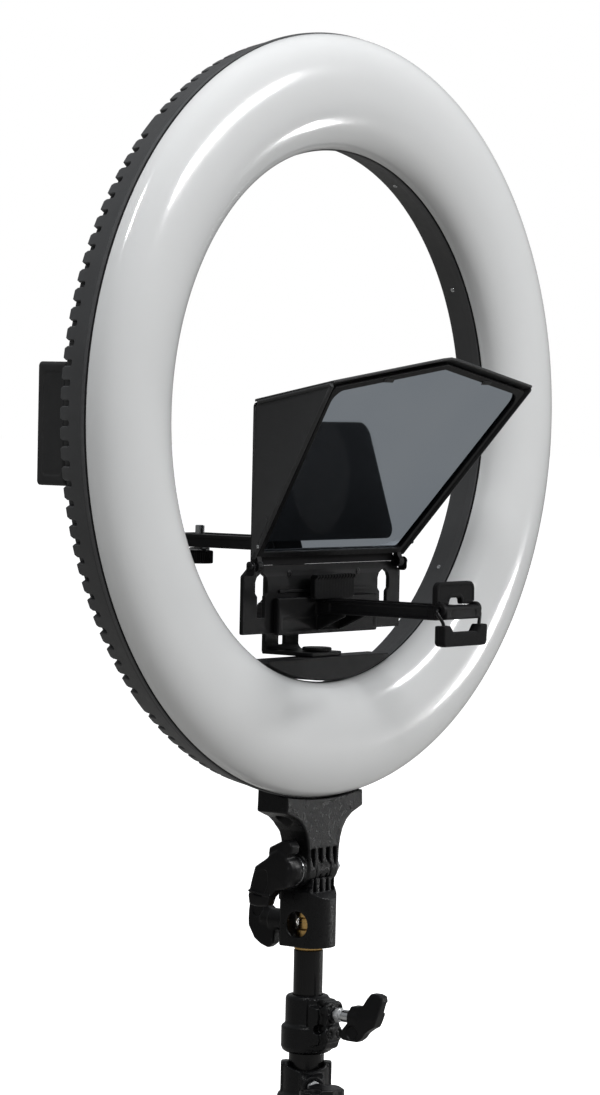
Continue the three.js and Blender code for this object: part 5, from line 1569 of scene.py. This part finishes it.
def build_rear_jaw():
    jaw = Casting((-21, 21), (-7.4, -1.8), (-114.1, -98.6), 0.32)
    # (y, z)
    profile = fillet([(-5.6, -114.1), (-1.8, -114.1), (-1.8, -98.6), (-7.4, -98.6),
                      (-7.4, -100.4), (-5.6, -101.8)], [0.3, 0.3, 1.0, 0.9, 0.6, 0.4], 3)
    jaw.add(jaw.plate("X", profile, -21, 21, 0.6))
    front = rounded(-21, 21, -114.1, -98.6, 3.0)
    jaw.field = np.maximum(jaw.field, jaw.plate("Y", front, -9, 0))
    # upright grooves in the front face
    for k in range(-6, 7):
        within = np.maximum(jaw.y + 5.5 + 0.15, -113.0 - jaw.z)
        jaw.cut(meet(np.abs(jaw.x - 3 * k) - 0.45, within), 0.25)
    jaw.make("rear_jaw_pad", "rubber", "prompter", "rear_jaw", keep=0.4)


def build_jaw_pad():
    """Front pad with an arch in its lower edge."""
    pad = Casting((-20.5, 20.5), (-98.8, -94.4), (-113.5, -99.0), 0.30)
    outline = fillet([(-20.3, -113.3), (-20.3, -99.2), (20.3, -99.2), (20.3, -113.3),
                      (7.0, -113.3), (5.8, -109.2), (-5.8, -109.2), (-7.0, -113.3)],
                     [0.8, 5.0, 5.0, 0.8, 0.6, 2.6, 2.6, 0.6])
    pad.add(pad.plate("Y", outline, -98.6, -94.6, 0.9))
    for side in SIDES:
        pad.cut(pad.rod("X", -100, -116.2, 4.9, *sided(side, 17, 26)), 0.3)
    # raised rim on the outer face, grooves across the inner face
    pad.cut(meet(pad.outline("Y", inset(outline[::-1], 2.4)), pad.y + 98.3, 0.1), 0.4)
    for k in range(5):
        within = np.maximum(np.abs(pad.x) - 18, -94.95 - pad.y)
        pad.cut(meet(np.abs(pad.z + 101.5 + 2.2 * k) - 0.35, within, 0.1), 0.2)
    pad.make("jaw_pad_rubber", "rubber", "jaw", "jaw_pad", keep=0.4)


def build_jaw_slide():
    """Slide with a crosspiece and pivot bosses."""
    slide = Casting((-21, 21), (-105, -31.5), (-122.4, -111), 0.4)
    slide.add(slide.box((-7.9, 7.9), (-98, -32), (-120.9, -116.9), 0.5))
    profile = fillet([(-104.6, -122.2), (-95.2, -122.2), (-95.2, -113.7), (-104.6, -113.7)],
                     [1.6, 1.2, 0.8, 2.4], 4)
    slide.add(slide.plate("X", profile, -18.4, 18.4, 0.7), 0.6)
    for side in SIDES:
        slide.add(slide.rod("X", BAIL_Y, BAIL_Z, 4.4, *sided(side, 16.4, 20.2), 0.7), 0.5)
    # recess on the front
    recess = rounded(-13.5, 13.5, -120.6, -116.2, 1.6)
    slide.cut(meet(slide.outline("Y", recess), slide.y + 104.2, 0.1), 0.3)
    # pivot holes, each with a ring groove round it
    for side in SIDES:
        slide.cut(slide.rod("X", BAIL_Y, BAIL_Z, 1.55, *sided(side, 15, 24)), 0.2)
        groove = np.abs(slide.disc("X", BAIL_Y, BAIL_Z, 3.0)) - 0.25
        slide.cut(meet(groove, slide.along("X", *sided(side, 19.8, 24))), 0.2)
    slide.make("jaw_slide_moulding", "abs", "jaw", "jaw_slide", keep=0.35)


def build_bail():
    # -X half of the wire, (x, y and z from the bail axis)
    half = [(-16.5, 0, 0), (-19.5, 0, 0), (-21.6, 0, 0), (-22.6, -0.4, -1.2),
            (-22.4, -1.2, -3.0), (-20.4, -2.4, -6.2), (-19.1, -3, -9.0), (-18.9, -3, -13.4),
            (-18.9, -3, -16.8), (-18.2, -3, -18.8), (-16.2, -3, -19.6)]
    path = half + [(0, -3, -19.6)] + [(-x, y, z) for x, y, z in reversed(half)]
    path = [(x, BAIL_Y + y, BAIL_Z + z) for x, y, z in path]
    wire = sweep("bail_rod", smooth_path(path, 8), 1.1, 4)
    finish(wire, "wire", "bail", "bail_wire", angle=60)

    grip = Casting((-23.7, 23.7), (-107.0, -99.0), (-138.8, -125.4), 0.34)
    outline = fillet([(-23.5, -125.6), (-23.5, -136.6), (-21.4, -138.6), (21.4, -138.6),
                      (23.5, -136.6), (23.5, -125.6), (15.8, -125.6), (12.4, -129.9),
                      (-12.4, -129.9), (-15.8, -125.6)],
                     [0.8, 2, 2, 2, 2, 0.8, 0.8, 1.4, 1.4, 0.8])
    grip.add(grip.plate("Y", outline, BAIL_Y - 6.8, BAIL_Y + 0.8, 1.3))
    # groove that takes the wire
    depth = (BAIL_Y - 4.4, BAIL_Y + 3)
    legs = [grip.box(sided(side, 17.5, 20.3), depth, (-134.5, -122), 0.4) for side in SIDES]
    across = grip.box((-20.3, 20.3), depth, (-137.0, -133.8), 0.4)
    grip.cut(np.minimum(across, np.minimum(*legs)), 0.3)
    # moulded seam round the edge
    seam = np.abs(grip.y - (BAIL_Y - 3)) - 0.28
    grip.add(meet(seam, grip.outline("Y", outline) - 0.18, 0.1), 0.15)
    grip.make("bail_grip_rubber", "rubber", "bail", "bail_grip", keep=0.4)


# ------------------------------------------------------------------ build
build_diffuser()
build_housing()
build_housing_screws()
build_shelf()
build_diodes()

build_control_cover()
build_control_plate()
build_control_knob("dimmer_knob", "dimmer", DIMMER_Z)
build_control_knob("colour_temp_knob", "colour", COLOUR_Z)
build_rocker()
build_power_socket()

build_yoke()
build_shoulder_bolts()
build_socket()
build_tilt_bolt()
build_tilt_lever()
build_socket_knob()

build_spigot()
build_tubes()
build_upper_collar()
build_lower_collar()
build_wing_knob(0, tip=10.4, lay=0.0)
build_wing_knob(1, tip=12.3, lay=90)

build_bracket()
build_carrier()
build_height_knob()
build_rail()

build_keyhole_plate()
build_lens_panel()
for side, label in SIDE_NAMES:
    build_hood_side(side, label)
build_hood_roof()
build_mirror()
for side, label in SIDE_NAMES:
    build_glass_clip(side, label)
    build_hinge(side, label)

build_arm()
build_rear_jaw()
build_jaw_pad()
build_jaw_slide()
build_bail()

# CAD nodes that stay as they are, with bevelled edges and the materials above
for node, key in (("led_board", "led"), ("driver_board", "pcb"), ("jaw_spring", "steel"),
                  ("top_tube_stop_bush", "abs"), ("shelf_nut", "steel")):
    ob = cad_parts[node]
    ob.data.materials.clear()
    ob.data.materials.append(FINISH[key])
    ob.modifiers.new("weld", "WELD").merge_threshold = 1e-5
    rim = ob.modifiers.new("bevel", "BEVEL")
    rim.width = 0.0002
    rim.segments = 2
    rim.limit_method = "ANGLE"
    rim.angle_limit = math.radians(40)


# ------------------------------------------------------------------ stage, light and camera
def stage_material():
    """Floor that the camera sees as near white, but that lights the product as mid grey."""
    material = bpy.data.materials.new("pale_floor")
    shader = Shader(material)
    seen = shader.add("BsdfDiffuse", {0: (0.93, 0.93, 0.93, 1)})
    lit = shader.add("BsdfDiffuse", {0: (0.34, 0.335, 0.325, 1)})
    glow = shader.add("Emission", {0: (1, 1, 1, 1), 1: 0.80})
    bright = shader.add("AddShader", {0: seen.outputs[0], 1: glow.outputs[0]})
    camera_ray = shader.add("LightPath").outputs["Is Camera Ray"]
    mix = shader.add("MixShader", {0: camera_ray, 1: lit.outputs[0], 2: bright.outputs[0]})
    shader.add("OutputMaterial", {0: mix.outputs[0]})
    return material


def build_stage():
    half = 30.0                   # metres
    mesh = bpy.data.meshes.new("floor")
    mesh.from_pydata([(-half, -half, 0), (half, -half, 0), (half, half, 0), (-half, half, 0)],
                     [], [(0, 1, 2, 3)])
    mesh.materials.append(stage_material())
    link("floor", mesh)
    # dark studio flag over the phone arm, seen only by mirror reflections
    flag = slab("dark_flag", rounded(-78, 93, -90.5, -12, 9), -99.0, -98.6, XY, edge=0)
    flag.data.materials.append(FINISH["rubber"])
    for ray in ("camera", "diffuse", "transmission", "volume_scatter", "shadow"):
        setattr(flag, "visible_" + ray, False)


def build_world():
    """White to the camera; a soft grey gradient for everything else."""
    world = bpy.data.worlds.new("studio")
    bpy.context.scene.world = world
    shader = Shader(world)
    direction = shader.add("TexCoord").outputs["Generated"]
    up = shader.add("SeparateXYZ", {0: direction}).outputs["Z"]
    sky = shader.ramp(shader.remap(up, (-1, 1), (0, 1)),
                      0.48, (0.42, 0.42, 0.41), 0.75, (0.78, 0.80, 0.82))
    lighting = shader.add("Background", {0: sky, 1: 0.42})
    backdrop = shader.add("Background", {0: (1, 1, 1, 1), 1: 1.0})
    camera_ray = shader.add("LightPath").outputs["Is Camera Ray"]
    mix = shader.add("MixShader", {0: camera_ray, 1: lighting.outputs[0],
                                   2: backdrop.outputs[0]})
    shader.add("OutputWorld", {0: mix.outputs[0]})


def softbox(name, azimuth, elevation, distance, size, power, glossy=True):
    """Area light aimed at the ring centre: azimuth from the front (-Y) towards +X, degrees;
    distance and size in metres, power in watts."""
    a, e = math.radians(azimuth), math.radians(elevation)
    towards = Vector((math.sin(a) * math.cos(e), -math.cos(a) * math.cos(e), math.sin(e)))
    light = bpy.data.lights.new(name, "AREA")
    light.shape = "RECTANGLE"
    light.size, light.size_y = size
    light.energy = power
    ob = link(name, light)
    ob.location = Vector(row((0, 0, 0))) + towards * distance
    ob.rotation_euler = (-towards).to_track_quat("-Z", "Y").to_euler()
    ob.visible_glossy = glossy


def build_lights():
    softbox("key_right", azimuth=34, elevation=22, distance=3.0, size=(1.2, 0.30), power=36)
    softbox("key_left", azimuth=-60, elevation=50, distance=2.6, size=(0.22, 0.6), power=22)
    softbox("top_fill", azimuth=0, elevation=86, distance=2.4, size=(2.2, 2.2), power=42,
            glossy=False)
    softbox("front_fill", azimuth=42, elevation=2, distance=4.0, size=(2.2, 2.2), power=26,
            glossy=False)
    softbox("streak_low", azimuth=62, elevation=-14, distance=2.8, size=(0.30, 0.8), power=12)


def build_camera():
    x, y, z = -1.961158, -1.473391, 0.574519                       # metres
    yaw, pitch, roll = 0.9221310485, -0.0396748480, 0.0204863182   # radians, yaw from +Y to +X
    data = bpy.data.cameras.new("camera")
    data.sensor_width = 36.0
    data.lens = 127.8434137
    data.clip_start = 0.05
    data.clip_end = 100
    camera = link("camera", data)
    view = Vector((math.sin(yaw) * math.cos(pitch), math.cos(yaw) * math.cos(pitch),
                   math.sin(pitch)))
    level = Vector((math.cos(yaw), -math.sin(yaw), 0))
    upright = level.cross(view)
    right = math.cos(roll) * level + math.sin(roll) * upright
    up = -math.sin(roll) * level + math.cos(roll) * upright
    camera.matrix_world = Matrix(((right.x, up.x, -view.x, x), (right.y, up.y, -view.y, y),
                                  (right.z, up.z, -view.z, z), (0, 0, 0, 1)))
    bpy.context.scene.camera = camera


build_stage()
build_world()
build_lights()
build_camera()
bpy.context.scene.view_settings.view_transform = "Standard"
bpy.context.scene.view_settings.look = "None"

bpy.context.view_layer.update()
